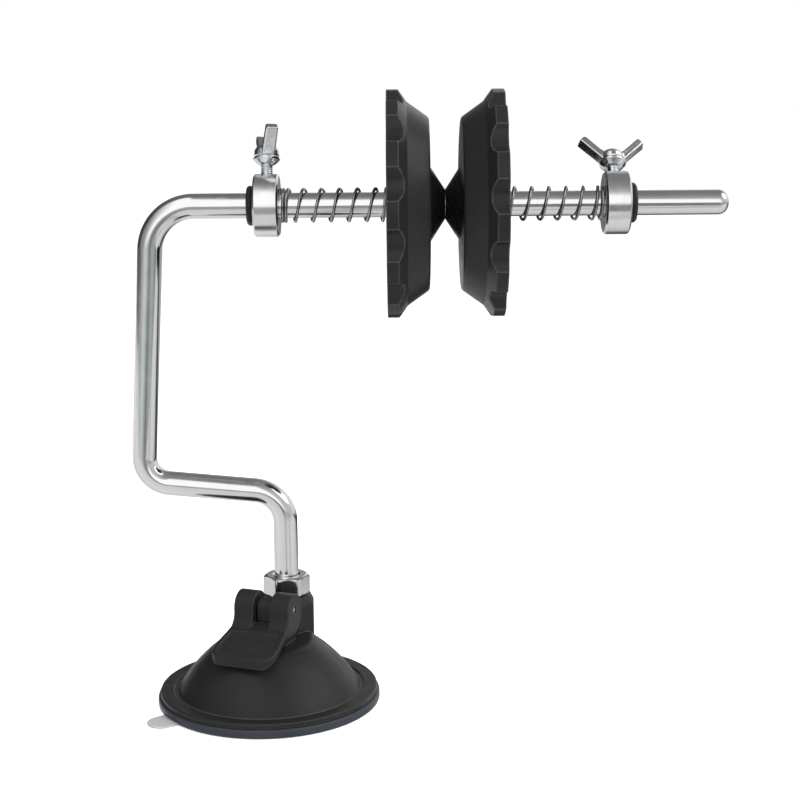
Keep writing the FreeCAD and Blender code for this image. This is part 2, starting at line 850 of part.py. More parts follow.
def make_collar(name, side, inner_face, lean):
    """The clamp collar, with a tapped hole for its wing screw."""
    width = size("collar_width")
    body = new_body(name)
    ring = new_sketch(body, "ring", "XY_Plane")
    circle(ring, size("collar_radius"))
    circle(ring, size("rod_diameter") / 2 + size("running_gap"))
    pad(ring, width)
    dress(body, "Chamfer", size("collar_chamfer"), lambda edge: is_ring(edge, size("collar_radius")))
    tapped = new_sketch(body, "tapped_hole", "XZ_Plane")
    circle(tapped, size("screw_radius") + size("running_gap"), 0.0, width / 2)
    cut(tapped, size("collar_radius") * 2)
    place(body, inner_face - side * width, shaft_y(), size("shaft_height"), shaft_turn(side, lean))
    return body


def make_o_ring(name, side, inner_face):
    """The rubber ring that sits against the collar's outer face."""
    ring = document.addObject("Part::Torus", name)
    ring.Label = name
    cord = size("o_ring_cord")
    bind(ring, Radius1=size("rod_diameter") / 2 + cord / 2 + size("running_gap"), Radius2=cord / 2)
    x = inner_face - side * (size("collar_width") + cord / 2 + size("running_gap"))
    place(ring, x, shaft_y(), size("shaft_height"), shaft_turn(side))
    return ring


def make_wing_screw(name, side, inner_face, lean, rise, turn):
    """A cast wing screw: threaded shank, bowl, ring, domed hub and two wings."""
    shank, ring = size("screw_radius"), size("screw_ring_radius")
    hub, crown = size("screw_hub_radius"), size("screw_hub_height")
    shoulder = crown - 2
    dome = (hub * hub + 4) / 4
    body = new_body(name)
    profile = new_sketch(body, "profile", "XZ_Plane")
    outline(profile, [
        (0, -size("screw_length")),
        (shank - 0.6, -size("screw_length")),
        (shank, 0.7 - size("screw_length")),
        (shank, -3.0, -2.9),
        (ring - 0.1, -0.5),
        (ring, -0.3),
        (ring, 0.4),
        (ring - 0.3, 0.7),
        (hub, shoulder, -dome),
        (0, crown),
    ])
    turn_solid(profile)
    for way, label in ((-1, "near_wing"), (1, "far_wing")):
        wing = new_sketch(body, label, "XZ_Plane")
        outline(wing, [
            (way * 2.5, -0.9),
            (way * 4.5, 0.8),
            (way * 13.4, 9.5),
            (way * 11.3, 11.6),
            (way * 4.7, 5.2),
            (way * 2.5, 3.3),
        ])
        fin = pad(wing, size("wing_thickness"), symmetric=True)
    body.Tip = fin

    def wing_edge(edge):
        ends = edge.Vertexes
        return len(ends) == 2 and all(math.hypot(end.X, end.Y) > 6 for end in ends)

    dress(body, "Fillet", size("wing_edge"), wing_edge)
    x = inner_face - side * size("collar_width") / 2
    upright = Rotation(X_AXIS, -number(lean))
    y = shaft_y() + rise * sine(lean)
    z = size("shaft_height") + rise * cosine(lean)
    place(body, x, y, z, upright * Rotation(Z_AXIS, number(turn)))
    return body


def spring_heights(length, turns, closed):
    """Heights of the wire's centre, STEPS_PER_TURN to a turn: closed, open, then closed again."""
    closed_pitch = number(size("spring_wire")) * 1.07
    steps = round(turns * STEPS_PER_TURN)

    def openness(turn):
        return min(max(turn - closed, 0.0), 1.0) * min(max(turns - LAST_CLOSED_TURNS - turn, 0.0), 1.0)

    shares = [openness((step + 0.5) * turns / steps) for step in range(steps)]
    spare = length - closed_pitch * turns
    heights = [0.0]
    for share in shares:
        heights.append(heights[-1] + closed_pitch * turns / steps + spare * share / sum(shares))
    return heights


def make_spring(name, side, inner_face, length, turns, closed):
    """A left-hand compression spring: closed coils at the collar, open coils to the washer."""
    wire, radius = number(size("spring_wire")), number(size("spring_radius"))
    heights = spring_heights(number(length) - wire, number(turns), number(closed))
    points = []
    for step, height in enumerate(heights):
        angle = math.pi / 2 - 2 * math.pi * number(turns) * step / (len(heights) - 1)
        points.append(Vector(radius * math.cos(angle), radius * math.sin(angle), height))
    curve = Part.BSplineCurve()
    curve.interpolate(points)
    path = Part.Wire(curve.toShape())
    section = Part.Wire(Part.Circle(points[0], curve.tangent(curve.FirstParameter)[0], wire / 2).toShape())
    spring = document.addObject("Part::Feature", name)
    spring.Label = name
    spring.Shape = path.makePipeShell([section], True, True)
    start = Vector(number(inner_face) + side * wire / 2, number(shaft_y()), number(size("shaft_height")))
    spring.Placement = Placement(start, shaft_turn(side))
    return spring


def make_shaft_set(label, side):
    """Everything on one side of the centre plane, from the O-ring in to the cone."""
    washer, recess = size("washer_thickness"), size("hub_recess")
    gap = size("running_gap")
    back = back_of_cone(side)
    washer_back = back + side * (recess - washer)
    inner_face = washer_back - side * size(f"{label}_spring_length")
    lean, bore = size(f"{label}_lean"), size("rod_diameter") / 2 + gap
    rise, turn = size(f"{label}_screw_rise"), size(f"{label}_wing_turn")
    length, turns = size(f"{label}_spring_length"), size(f"{label}_spring_turns")
    return [
        make_o_ring(f"{label}_o_ring", side, inner_face),
        make_collar(f"{label}_collar", side, inner_face, lean),
        make_wing_screw(f"{label}_wing_screw", side, inner_face, lean, rise, turn),
        make_spring(f"{label}_spring", side, inner_face, length, turns, size(f"{label}_closed_turns")),
        make_tube(f"{label}_thrust_washer", size("washer_radius"), bore, washer, side, washer_back),
        make_tube(f"{label}_hub_bush", size("bush_radius"), bore, size("bush_length"), side,
                  back + side * recess),
        make_taper_cone(label, side),
    ]


def check(pieces):
    """Stop if any object failed or any piece has no valid shape."""
    for item in document.Objects:
        if "Invalid" in item.State or "Error" in item.State:
            raise ValueError(f"{item.Name} failed: {item.State}")
    for piece in pieces:
        shape = piece.Shape
        if shape.isNull() or not shape.isValid() or shape.Volume <= 0:
            raise ValueError(f"{piece.Label} has no valid solid")


def main():
    fill_sheet()
    pieces = [
        make_suction_cup(),
        make_release_tab(),
        make_dome_housing(),
        make_threaded_insert(),
        make_cup_stem(),
        make_lever_pin(),
        make_cam_lever(),
        make_lock_nut(),
        make_bent_rod(),
    ]
    pieces += make_shaft_set("left", 1)
    pieces += make_shaft_set("right", -1)
    document.recompute()
    check(pieces)
    os.makedirs("parts", exist_ok=True)
    for piece in pieces:
        piece.Shape.exportStep(f"parts/{piece.Label}.step")
        box = piece.Shape.BoundBox
        print(f"{piece.Label:22s} solids {len(piece.Shape.Solids)} volume {piece.Shape.Volume:9.1f}"
              f"  x {box.XMin:7.2f} {box.XMax:7.2f}  y {box.YMin:7.2f} {box.YMax:7.2f}"
              f"  z {box.ZMin:7.2f} {box.ZMax:7.2f}")


main()
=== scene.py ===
"""The looks of a fishing line winder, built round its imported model.

A shape is worked out in millimetres and scaled to metres when its piece is finished. Each piece
takes its place from the model's own boxes. The base's own axes have x to the lever's right and y
towards the rod. The axes of what rides on the shaft have z towards the other cone and y up.
"""

from __future__ import annotations

import logging
import math
import sys
from dataclasses import dataclass, field
from enum import Enum
from typing import Callable, Optional, Sequence

import bpy
import numpy as np
from mathutils import Matrix, Vector
from numpy.typing import NDArray

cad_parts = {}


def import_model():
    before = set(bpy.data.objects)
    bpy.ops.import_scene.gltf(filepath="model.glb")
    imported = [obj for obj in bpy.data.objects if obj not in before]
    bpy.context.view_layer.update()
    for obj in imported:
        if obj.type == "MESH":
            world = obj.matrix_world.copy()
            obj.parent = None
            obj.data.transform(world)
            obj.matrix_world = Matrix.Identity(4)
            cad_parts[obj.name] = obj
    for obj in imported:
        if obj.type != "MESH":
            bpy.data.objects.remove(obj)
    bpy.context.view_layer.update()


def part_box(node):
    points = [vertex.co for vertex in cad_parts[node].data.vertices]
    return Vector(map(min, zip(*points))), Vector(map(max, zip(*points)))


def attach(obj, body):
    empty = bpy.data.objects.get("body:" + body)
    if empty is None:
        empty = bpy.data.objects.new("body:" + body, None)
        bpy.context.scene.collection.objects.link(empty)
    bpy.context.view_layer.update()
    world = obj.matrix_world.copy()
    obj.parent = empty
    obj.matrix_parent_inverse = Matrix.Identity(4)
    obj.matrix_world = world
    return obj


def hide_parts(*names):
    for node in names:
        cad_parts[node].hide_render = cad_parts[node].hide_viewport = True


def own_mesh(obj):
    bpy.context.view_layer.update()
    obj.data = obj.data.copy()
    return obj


Array = NDArray[np.float64]
Colour = tuple[float, float, float]
Corners = Sequence[tuple[float, ...]]
Stops = Sequence[tuple[float, float]]
Material = bpy.types.Material
Object = bpy.types.Object
Socket = bpy.types.NodeSocket

MM = 0.001
TURN = 2 * math.pi
X_AXIS, Y_AXIS, Z_AXIS = (1.0, 0.0, 0.0), (0.0, 1.0, 0.0), (0.0, 0.0, 1.0)
WHITE = (1.0, 1.0, 1.0)
# Columns round a large, a middling and a small turned piece.
LARGE, MIDDLING, SMALL = 192, 96, 64
# How a grid's x, y and z are dealt out again: its plan in y and z, its plan in x and z, its axis on x.
PLAN_YZ, PLAN_XZ, AXIS_X = [2, 0, 1], [0, 2, 1], [2, 1, 0]
# The colour sockets of a mix node, by their places.
MIX_LOW, MIX_HIGH, MIX_RESULT = 6, 7, 2

log = logging.getLogger("winder")


# ---------------------------------------------------------------- turns and places


def turn_about(axis: Sequence[float], degrees: float) -> Array:
    """The 3 by 3 turn about an axis, by Rodrigues' formula: I + sin(a) K + (1 - cos(a)) K K.

    Args:
        axis: The line turned about, of any length.
        degrees: How far, by the right-hand rule.

    Returns:
        The matrix that turns a column vector.
    """
    x, y, z = np.asarray(axis, float) / np.linalg.norm(axis)
    cross = np.array([[0, -z, y], [z, 0, -x], [-y, x, 0]])
    angle = math.radians(degrees)
    return np.eye(3) + math.sin(angle) * cross + (1 - math.cos(angle)) * cross @ cross


@dataclass(frozen=True)
class Place:
    """A piece's own axes in the model's: a turn, then a shift in millimetres."""

    turn: Array
    origin: Sequence[float] = (0.0, 0.0, 0.0)

    def __call__(self, points: Array) -> Array:
        """The points, carried from the piece's own axes into the model's."""
        return points @ self.turn.T + np.asarray(self.origin)

    def matrix(self) -> Matrix:
        """The same turn and shift as one matrix."""
        return Matrix.Translation(Vector(self.origin)) @ Matrix(self.turn.tolist()).to_4x4()


def node_box(node: str) -> tuple[Array, Array]:
    """The lowest and highest corners of a node at rest, in millimetres."""
    low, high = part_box(node)
    return np.array(low) / MM, np.array(high) / MM


def add_object(name: str, data: bpy.types.ID) -> Object:
    """Puts a mesh, a lamp or a camera into the scene."""
    item = bpy.data.objects.new(name, data)
    bpy.context.scene.collection.objects.link(item)
    return item


# ---------------------------------------------------------------- outlines


def rounded(corners: Corners, step: float = 12.0) -> Array:
    """A run of points through the corners, with an arc at each corner that gives a radius.

    An arc of radius r at a corner that turns by t touches both sides at r * tan(t / 2) from the
    corner. Its points go round its centre by equal angles.

    Args:
        corners: Each (x, y), or (x, y, radius).
        step: The most degrees between two points of an arc.

    Returns:
        The points, one to a row.
    """
    flat = np.array([corner[:2] for corner in corners], float)
    points: list[Array] = []
    neighbours = zip(np.roll(flat, 1, axis=0), np.roll(flat, -1, axis=0))
    for corner, here, beside in zip(corners, flat, neighbours):
        radius = corner[2] if len(corner) > 2 else 0.0
        if not radius:
            points.append(here[None])
            continue
        back, ahead = ((other - here) / np.linalg.norm(other - here) for other in beside)
        between = math.acos(float(np.clip(back @ ahead, -1, 1)))
        turn = math.pi - between
        middle = back + ahead
        centre = here + middle / np.linalg.norm(middle) * radius / math.sin(between / 2)
        arm = here + back * radius * math.tan(turn / 2) - centre
        side = 1.0 if back[0] * ahead[1] - back[1] * ahead[0] < 0 else -1.0
        angles = np.linspace(0, side * turn, max(2, math.ceil(math.degrees(turn) / step)) + 1)
        square = np.array([-arm[1], arm[0]])
        points.append(centre + (np.outer(np.cos(angles), arm) + np.outer(np.sin(angles), square)))
    return np.concatenate(points)


def densify(points: Array, spacing: float, closed: bool = True) -> Array:
    """The same run of points with more of them on its long sides, none further apart than spacing.

    Args:
        points: The run, one point to a row.
        spacing: The most between two points.
        closed: Whether the last point leads back to the first.

    Returns:
        The points, with equal steps on each side.
    """
    whole = np.vstack([points, points[:1]]) if closed else points
    whole = whole[np.append(True, np.linalg.norm(np.diff(whole, axis=0), axis=1) > MM)]
    lengths = np.linalg.norm(np.diff(whole, axis=0), axis=1)
    shares = np.maximum(1, np.ceil(lengths / spacing)).astype(int)
    side = np.repeat(np.arange(len(shares)), shares)
    part = (np.arange(len(side)) - np.repeat(np.cumsum(shares) - shares, shares)) / shares[side]
    filled = whole[side] + (whole[side + 1] - whole[side]) * part[:, None]
    return filled if closed else np.vstack([filled, whole[-1:]])


def polygon(across: float, sides: int, corner: float, shift: float) -> Array:
    """A regular polygon with rounded corners: corner k lies at the angle k * 360 / sides.

    Args:
        across: The distance across its flats.
        sides: How many it has.
        corner: Its corners' radius.
        shift: Its middle's y.

    Returns:
        Its outline.
    """
    reach = across / 2 / math.cos(math.pi / sides)
    return rounded([(reach * math.cos(angle), shift + reach * math.sin(angle), corner)
                    for angle in TURN * np.arange(sides) / sides])


def oblong(width: float, breadth: float, corner: float) -> Array:
    """A rectangle about the middle, with rounded corners."""
    x, y = width / 2, breadth / 2
    return rounded([(x, y, corner), (-x, y, corner), (-x, -y, corner), (x, -y, corner)])


def section(inner: float, outer: float, low: float, high: float, edge: float, bore: float = 0.0) -> Array:
    """A disc's or tube's section, with the radii of its outer edges and of its bore's edges."""
    return rounded([(inner, low, bore), (outer, low, edge), (outer, high, edge), (inner, high, bore)])


def inset(outline: Array, depth: float) -> Array:
    """A closed outline moved inwards: each point goes along the mitre of its two sides' normals.

    Args:
        outline: The outline, one point to a row.
        depth: How far its sides move.

    Returns:
        The smaller outline.
    """
    following = np.roll(outline, -1, axis=0)
    ahead = (following - outline) / np.linalg.norm(following - outline, axis=1, keepdims=True)
    area = np.sum(outline[:, 0] * following[:, 1] - outline[:, 1] * following[:, 0])
    after = np.stack([-ahead[:, 1], ahead[:, 0]], axis=-1) * math.copysign(1.0, area)
    before = np.roll(after, 1, axis=0)
    share = 1 + np.sum(after * before, axis=1, keepdims=True)
    return outline + depth * (after + before) / np.maximum(share, 0.4)


def at_height(plan: Array, height: float) -> Array:
    """A flat outline at a height."""
    return np.column_stack([plan, np.full(len(plan), height)])


def full_turn(columns: int) -> Array:
    """Equal angles round a whole turn."""
    return np.linspace(0, TURN, columns, endpoint=False)


def polar(reach: Array | float, angle: Array, height: Array | float) -> Array:
    """Points at a reach from the z axis, an angle about it and a height along it."""
    return np.stack(np.broadcast_arrays(reach * np.cos(angle), reach * np.sin(angle), height), axis=-1)


def eased(share: Array) -> Array:
    """A smooth step: the share s, cut off at 0 and 1, becomes s^2 (3 - 2 s)."""
    cut = np.clip(share, 0, 1)
    return cut * cut * (3 - 2 * cut)


# ---------------------------------------------------------------- surfaces


class Ends(Enum):
    """How the first and last rows of a grid are finished."""

    FLAT = "a lid with the row's own corners"
    POINTED = "a fan to the row's middle point"
    JOINED = "the last row joins the first"


@dataclass
class Shell:
    """The closed surfaces of one piece, gathered as points, faces and face coordinates."""

    points: list[Array] = field(default_factory=list)
    faces: list[list[int]] = field(default_factory=list)
    coordinates: list[Array] = field(default_factory=list)
    count: int = 0

    def add(self, grid: Array, ends: Ends = Ends.FLAT) -> Shell:
        """Adds a grid as a closed surface with its faces outwards.

        A face joins point (r, c) to (r, c + 1), (r + 1, c + 1) and (r + 1, c). The signed volume
        is the sum of a . (b x c) over the triangles, and a negative one turns the faces round.

        Args:
            grid: Points in rows and columns; each row is a closed loop.
            ends: How the first and last rows are closed.

        Returns:
            The shell itself.
        """
        rows, columns = grid.shape[:2]
        flat = grid.reshape(-1, 3)
        index = np.arange(rows * columns).reshape(rows, columns)
        along = np.concatenate([[0.0], np.cumsum(np.linalg.norm(np.diff(grid[:, 0], axis=0), axis=1))])
        belt = grid[rows // 2]
        girth = float(np.linalg.norm(belt - np.roll(belt, 1, axis=0), axis=1).sum()) * MM
        if ends is Ends.JOINED:
            index = np.vstack([index, index[:1]])
            along = np.append(along, along[-1] + np.linalg.norm(grid[0, 0] - grid[-1, 0]))
        following = np.roll(index, -1, axis=1)
        quads = np.stack([index[:-1], following[:-1], following[1:], index[1:]], axis=-1).reshape(-1, 4)
        row, column = np.meshgrid(np.arange(len(index) - 1), np.arange(columns), indexing="ij")
        low, high = along[row] * MM, along[row + 1] * MM
        left, right = column * girth / columns, (column + 1) * girth / columns
        faces = quads.tolist()
        spread = [np.stack([low, left, low, right, high, right, high, left], axis=-1).reshape(-1, 2)]
        triangles = [quads[:, [0, 1, 2]], quads[:, [0, 2, 3]]]
        if ends is Ends.FLAT:
            for lid in (index[0][::-1], index[-1]):
                faces.append(lid.tolist())
                spread.append(flat[lid][:, :2] * MM)
                triangles.append(np.stack([np.full(columns - 2, lid[0]), lid[1:-1], lid[2:]], axis=-1))
        elif ends is Ends.POINTED:
            flat = np.vstack([flat, grid[0].mean(axis=0), grid[-1].mean(axis=0)])
            for ring, nearby, tip in ((following[0], index[0], len(flat) - 2),
                                      (index[-1], following[-1], len(flat) - 1)):
                fan = np.stack([ring, nearby, np.full(columns, tip)], axis=-1)
                faces += fan.tolist()
                spread.append(flat[fan.reshape(-1)][:, :2] * MM)
                triangles.append(fan)
        corners = flat[np.concatenate(triangles)]
        if np.sum(corners[:, 0] * np.cross(corners[:, 1], corners[:, 2])) < 0:
            faces = [face[::-1] for face in faces]
            sizes = np.array([len(face) for face in faces])
            starts = np.repeat(np.cumsum(sizes) - sizes, sizes)
            order = 2 * starts + np.repeat(sizes, sizes) - 1 - np.arange(sizes.sum())
            spread = [np.concatenate(spread)[order]]
        self.points.append(flat)
        self.faces += [[corner + self.count for corner in face] for face in faces]
        self.coordinates += spread
        self.count += len(flat)
        return self

    def build(self) -> Object:
        """Makes the mesh object, in millimetres."""
        mesh = bpy.data.meshes.new("work")
        mesh.from_pydata(np.vstack(self.points).tolist(), [], self.faces)
        layer = mesh.uv_layers.new(name="wrap")
        layer.data.foreach_set("uv", np.concatenate(self.coordinates).astype(np.float32).ravel())
        return add_object("work", mesh)


def solid(grid: Array, ends: Ends = Ends.FLAT) -> Object:
    """The mesh object of a single grid."""
    return Shell().add(grid, ends).build()


def lathe(profile: Array, angles: int | Array = MIDDLING,
          radius: Optional[Callable[[Array, Array, Array], Array]] = None) -> Array:
    """A turned surface: the profile point (r, z) goes to (r cos a, r sin a, z) for each angle a.

    Args:
        profile: Rows of (r, z).
        angles: The angles, or how many equal ones.
        radius: Gives another radius from the radius, height and angle.

    Returns:
        The grid of points, a row to each profile point.
    """
    angle = full_turn(angles) if isinstance(angles, int) else angles
    reach, height = profile[:, :1], profile[:, 1:]
    return polar(reach if radius is None else radius(reach, height, angle), angle, height)


def slab(outline: Array, low: float, high: float, edge: float, steps: int = 4) -> Array:
    """A plate with quarter-round edges: at quarter angle t it is inset by edge * (1 - sin t).

    Args:
        outline: The plate's closed plan.
        low: Its lower face's height.
        high: Its upper face's height.
        edge: The radius of its edges.
        steps: Rows on each quarter round.

    Returns:
        The grid, which takes flat ends.
    """
    quarter = np.linspace(0, math.pi / 2, steps + 1 if edge else 1)
    rounds = list(zip(edge * (1 - np.sin(quarter)), edge * (1 - np.cos(quarter))))
    rows = [at_height(inset(outline, depth), low + lift) for depth, lift in rounds]
    rows += [at_height(inset(outline, depth), high - lift) for depth, lift in rounds[::-1]]
    return np.stack(rows)


def sweep(path: Array, side: Array, radius: Array, columns: int) -> Array:
    """A round bar: each path point carries the circle r (cos a * side + sin a * tangent x side).

    Args:
        path: The points of the centre line.
        side: A unit vector across the line, at each point.
        radius: The bar's radius, at each point.
        columns: How many points go round it.

    Returns:
        The grid, a row to each path point.
    """
    tangent = np.gradient(path, axis=0)
    tangent /= np.linalg.norm(tangent, axis=1, keepdims=True)
    angles = full_turn(columns)[None, :, None]
    ring = side[:, None] * np.cos(angles) + np.cross(tangent, side)[:, None] * np.sin(angles)
    return path[:, None] + ring * radius[:, None, None]


# ---------------------------------------------------------------- joining and finishing


class Joining(Enum):
    """What one solid does to another."""

    ADD = "UNION"
    CUT = "DIFFERENCE"


def settle(piece: Object) -> Object:
    """Applies the piece's modifiers to its mesh."""
    graph = bpy.context.evaluated_depsgraph_get()
    mesh = bpy.data.meshes.new_from_object(piece.evaluated_get(graph))
    piece.modifiers.clear()
    piece.data = mesh
    return piece


def combine(piece: Object, how: Joining, *others: Object) -> Object:
    """Adds other solids to the piece, or cuts them from it, and removes them.

    Args:
        piece: The piece.
        how: Whether they are added or cut.
        others: The other solids.

    Returns:
        The piece.
    """
    for other in others:
        step = piece.modifiers.new(how.value, "BOOLEAN")
        step.operation = how.value
        step.solver = "EXACT"
        step.object = other
    settle(piece)
    for other in others:
        bpy.data.objects.remove(other)
    return piece


def melt(piece: Object, grain: float) -> Object:
    """Runs a piece's solids together as a casting does: a new surface in cells, smoothed twice.

    Args:
        piece: The piece, whose solids may overlap.
        grain: The cells' size.

    Returns:
        The piece.
    """
    cells = piece.modifiers.new("cells", "REMESH")
    cells.mode = "VOXEL"
    cells.voxel_size = grain
    smooth = piece.modifiers.new("smooth", "SMOOTH")
    smooth.factor = 0.5
    smooth.iterations = 2
    return settle(piece)


@dataclass(frozen=True)
class Role:
    """What a finished piece is: its name, the body it rides on and the node it stands for."""

    name: str
    body: str
    node: str
    slot: str


def finish_piece(piece: Object, role: Role, finish: Material, crease: float = 32.0,
                 where: Optional[Place] = None) -> Object:
    """Puts the piece in its place, scales it to metres, gives it its finish, joins it to its body and hides
    the node it stands for.

    Args:
        piece: The mesh object, in millimetres.
        role: Its name, body, node and slot.
        finish: Its material.
        crease: Edges that turn by more degrees stay sharp.
        where: Its place, if it isn't there yet.

    Returns:
        The piece.
    """
    mesh = piece.data
    if where is not None:
        mesh.transform(where.matrix())
    mesh.transform(Matrix.Scale(MM, 4))
    mesh.polygons.foreach_set("use_smooth", np.ones(len(mesh.polygons), dtype=bool))
    mesh.set_sharp_from_angle(angle=math.radians(crease))
    mesh.materials.clear()
    mesh.materials.append(finish)
    piece.name = mesh.name = role.name
    weighted = piece.modifiers.new("shading", "WEIGHTED_NORMAL")
    weighted.keep_sharp = True
    weighted.weight = 60
    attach(piece, role.body)
    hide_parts(role.node)
    log.info("%s: %d faces on %s", role.name, len(mesh.polygons), role.body)
    return piece


# ---------------------------------------------------------------- finishes


class Graph:
    """A tree of shader nodes, each joined as it is added."""

    def __init__(self, tree: bpy.types.NodeTree) -> None:
        """Takes the tree as it is."""
        self.nodes, self.links = tree.nodes, tree.links

    def feed(self, node: bpy.types.Node, inputs: dict[str | int, object]) -> None:
        """Joins a socket to an input, or sets the input's value; None leaves it as it is."""
        for name, value in inputs.items():
            if isinstance(value, Socket):
                self.links.new(value, node.inputs[name])
            elif value is not None:
                node.inputs[name].default_value = value

    def add(self, kind: str, inputs: dict[str | int, object], result: str | int = 0,
            **settings: object) -> Socket:
        """Adds a node.

        Args:
            kind: The node's type.
            inputs: A value or a socket for each input, by its name or place.
            result: The output that is wanted.
            settings: The node's own settings.

        Returns:
            The wanted output.
        """
        node = self.nodes.new(f"ShaderNode{kind}")
        for name, value in settings.items():
            setattr(node, name, value)
        self.feed(node, inputs)
        return node.outputs[result]

    def math(self, operation: str, *values: Socket | float) -> Socket:
        """Arithmetic on numbers."""
        return self.add("Math", dict(enumerate(values)), operation=operation)

    def dot(self, one: Socket, other: Socket | Sequence[float]) -> Socket:
        """The dot product of two directions."""
        return self.add("VectorMath", {0: one, 1: other}, "Value", operation="DOT_PRODUCT")

    def span(self, source: Socket, low: float, high: float,
             start: float = 0.0, stop: float = 1.0) -> Socket:
        """The source, carried from the range start to stop into the range low to high."""
        return self.add("MapRange", {"Value": source, "From Min": start, "From Max": stop,
                                     "To Min": low, "To Max": high})

    def mix(self, factor: Socket | float, low: Colour | Socket, high: Colour | Socket,
            blend: str = "MIX") -> Socket:
        """The first colour where the factor is 0 and the second, or its blend, where it is 1.

        Args:
            factor: The share of the second colour.
            low: The first colour, or a node's.
            high: The second colour, or a node's.
            blend: How the second goes over the first.

        Returns:
            The colour.
        """
        low, high = ((*colour, 1.0) if isinstance(colour, tuple) else colour for colour in (low, high))
        return self.add("Mix", {"Factor": factor, MIX_LOW: low, MIX_HIGH: high}, MIX_RESULT,
                        data_type="RGBA", blend_type=blend)


class Recipe(Graph):
    """A material's nodes, round its one shader."""

    def __init__(self, name: str) -> None:
        """Starts a material."""
        self.material = bpy.data.materials.new(name)
        self.material.use_nodes = True
        super().__init__(self.material.node_tree)

    def finish(self, **inputs: object) -> Material:
        """Feeds the shader's inputs, where an underscore stands for a space."""
        self.feed(self.nodes["Principled BSDF"], {key.replace("_", " "): inputs[key] for key in inputs})
        return self.material

    def coordinates(self, stretch: Sequence[float] = WHITE, wrap: bool = False) -> Socket:
        """The piece's own coordinates, stretched; wrapped ones run along and round its surface."""
        source = self.add("TexCoord", {}, "UV" if wrap else "Object")
        return self.add("Mapping", {"Vector": source, "Scale": stretch})

    def noise(self, where: Socket, size: float, detail: float = 2.0, rough: float = 0.5) -> Socket:
        """Cloudy noise whose features are about size millimetres across."""
        return self.add("TexNoise", {"Vector": where, "Scale": 1 / (size * MM), "Detail": detail,
                                     "Roughness": rough})

    def edges(self, radius: float, low: float, high: float) -> Socket:
        """1 along edges and creases sharper than the radius in millimetres, and 0 on flat places.

        A rounded normal leans away from the true one near an edge. One less their dot product is
        spread so that low gives 0 and high gives 1.

        Args:
            radius: How far from an edge the normal leans.
            low: What counts as flat.
            high: What counts as a sharp edge.

        Returns:
            The share of the painted edge highlight.
        """
        leaning = self.add("Bevel", {"Radius": radius * MM}, samples=6)
        true = self.add("NewGeometry", {}, "Normal")
        return self.span(self.dot(leaning, true), 1.0, 0.0, 1 - high, 1 - low)

    def bump(self, height: Socket, depth: float, below: Optional[Socket] = None) -> Socket:
        """Relief of the given depth in millimetres, on top of another relief."""
        return self.add("Bump", {"Strength": 1.0, "Distance": depth * MM, "Height": height, "Normal": below})


@dataclass(frozen=True)
class Moulding:
    """Black plastic or rubber from a mould: fine grain, faint flow clouds, and a painted highlight that
    makes edges and creases paler.
    """

    name: str
    dark: Colour
    pale: Colour
    gloss: tuple[float, float]
    # The paler colour of edges and creases: a painted highlight.
    edge_highlight: Colour = (0.07, 0.07, 0.07)
    grain: float = 0.35
    grain_depth: float = 0.012
    cloud: float = 14.0
    specular: float = 0.22

    def make(self) -> Material:
        """Makes the material."""
        recipe = Recipe(self.name)
        where = recipe.coordinates()
        body = recipe.mix(recipe.noise(where, self.cloud, 3.0), self.dark, self.pale)
        # Edges and creases are mixed towards a paler colour: a painted highlight.
        return recipe.finish(
            Base_Color=recipe.mix(recipe.edges(0.7, 0.008, 0.07), body, self.edge_highlight),
            Roughness=recipe.span(recipe.noise(where, self.cloud / 3, 4.0), *self.gloss, 0.3, 0.7),
            Normal=recipe.bump(recipe.noise(where, self.grain, 3.0, 0.6), self.grain_depth),
            Specular_IOR_Level=self.specular)


@dataclass(frozen=True)
class DrawnBar:
    """Bright drawn bar: fine lines along its length and slightly cloudy plating."""

    name: str
    dark: Colour = (0.74, 0.74, 0.74)
    pale: Colour = (0.87, 0.87, 0.87)
    gloss: tuple[float, float] = (0.07, 0.2)

    def make(self) -> Material:
        """Makes the material."""
        recipe = Recipe(self.name)
        lines = recipe.noise(recipe.coordinates((0.02, 1.0, 1.0), wrap=True), 0.5, 4.0, 0.6)
        where = recipe.coordinates()
        clouds = recipe.noise(where, 9.0, 4.0)
        return recipe.finish(
            Base_Color=recipe.mix(clouds, self.dark, self.pale),
            Roughness=recipe.span(clouds, *self.gloss, 0.3, 0.75),
            Normal=recipe.bump(recipe.noise(where, 2.2), 0.004, recipe.bump(lines, 0.0055)),
            Metallic=1.0)


@dataclass(frozen=True)
class Turned:
    """Turned metal: rings left by the tool, across the given own axis of the model."""

    name: str
    dark: Colour = (0.7, 0.71, 0.73)
    pale: Colour = (0.86, 0.87, 0.88)
    gloss: tuple[float, float] = (0.16, 0.3)
    along: Sequence[float] = X_AXIS
    ring: float = 0.16

    def make(self) -> Material:
        """Makes the material: the noise is stretched so that it changes along the axis only."""
        recipe = Recipe(self.name)
        stretch = tuple(1.0 if part else 0.01 for part in self.along)
        rings = recipe.noise(recipe.coordinates(stretch), self.ring, 4.0, 0.65)
        clouds = recipe.noise(recipe.coordinates(), 5.0, 3.0)
        return recipe.finish(
            Base_Color=recipe.mix(rings, self.dark, self.pale),
            Roughness=recipe.span(clouds, *self.gloss, 0.3, 0.7),
            Normal=recipe.bump(rings, 0.004),
            Metallic=1.0)


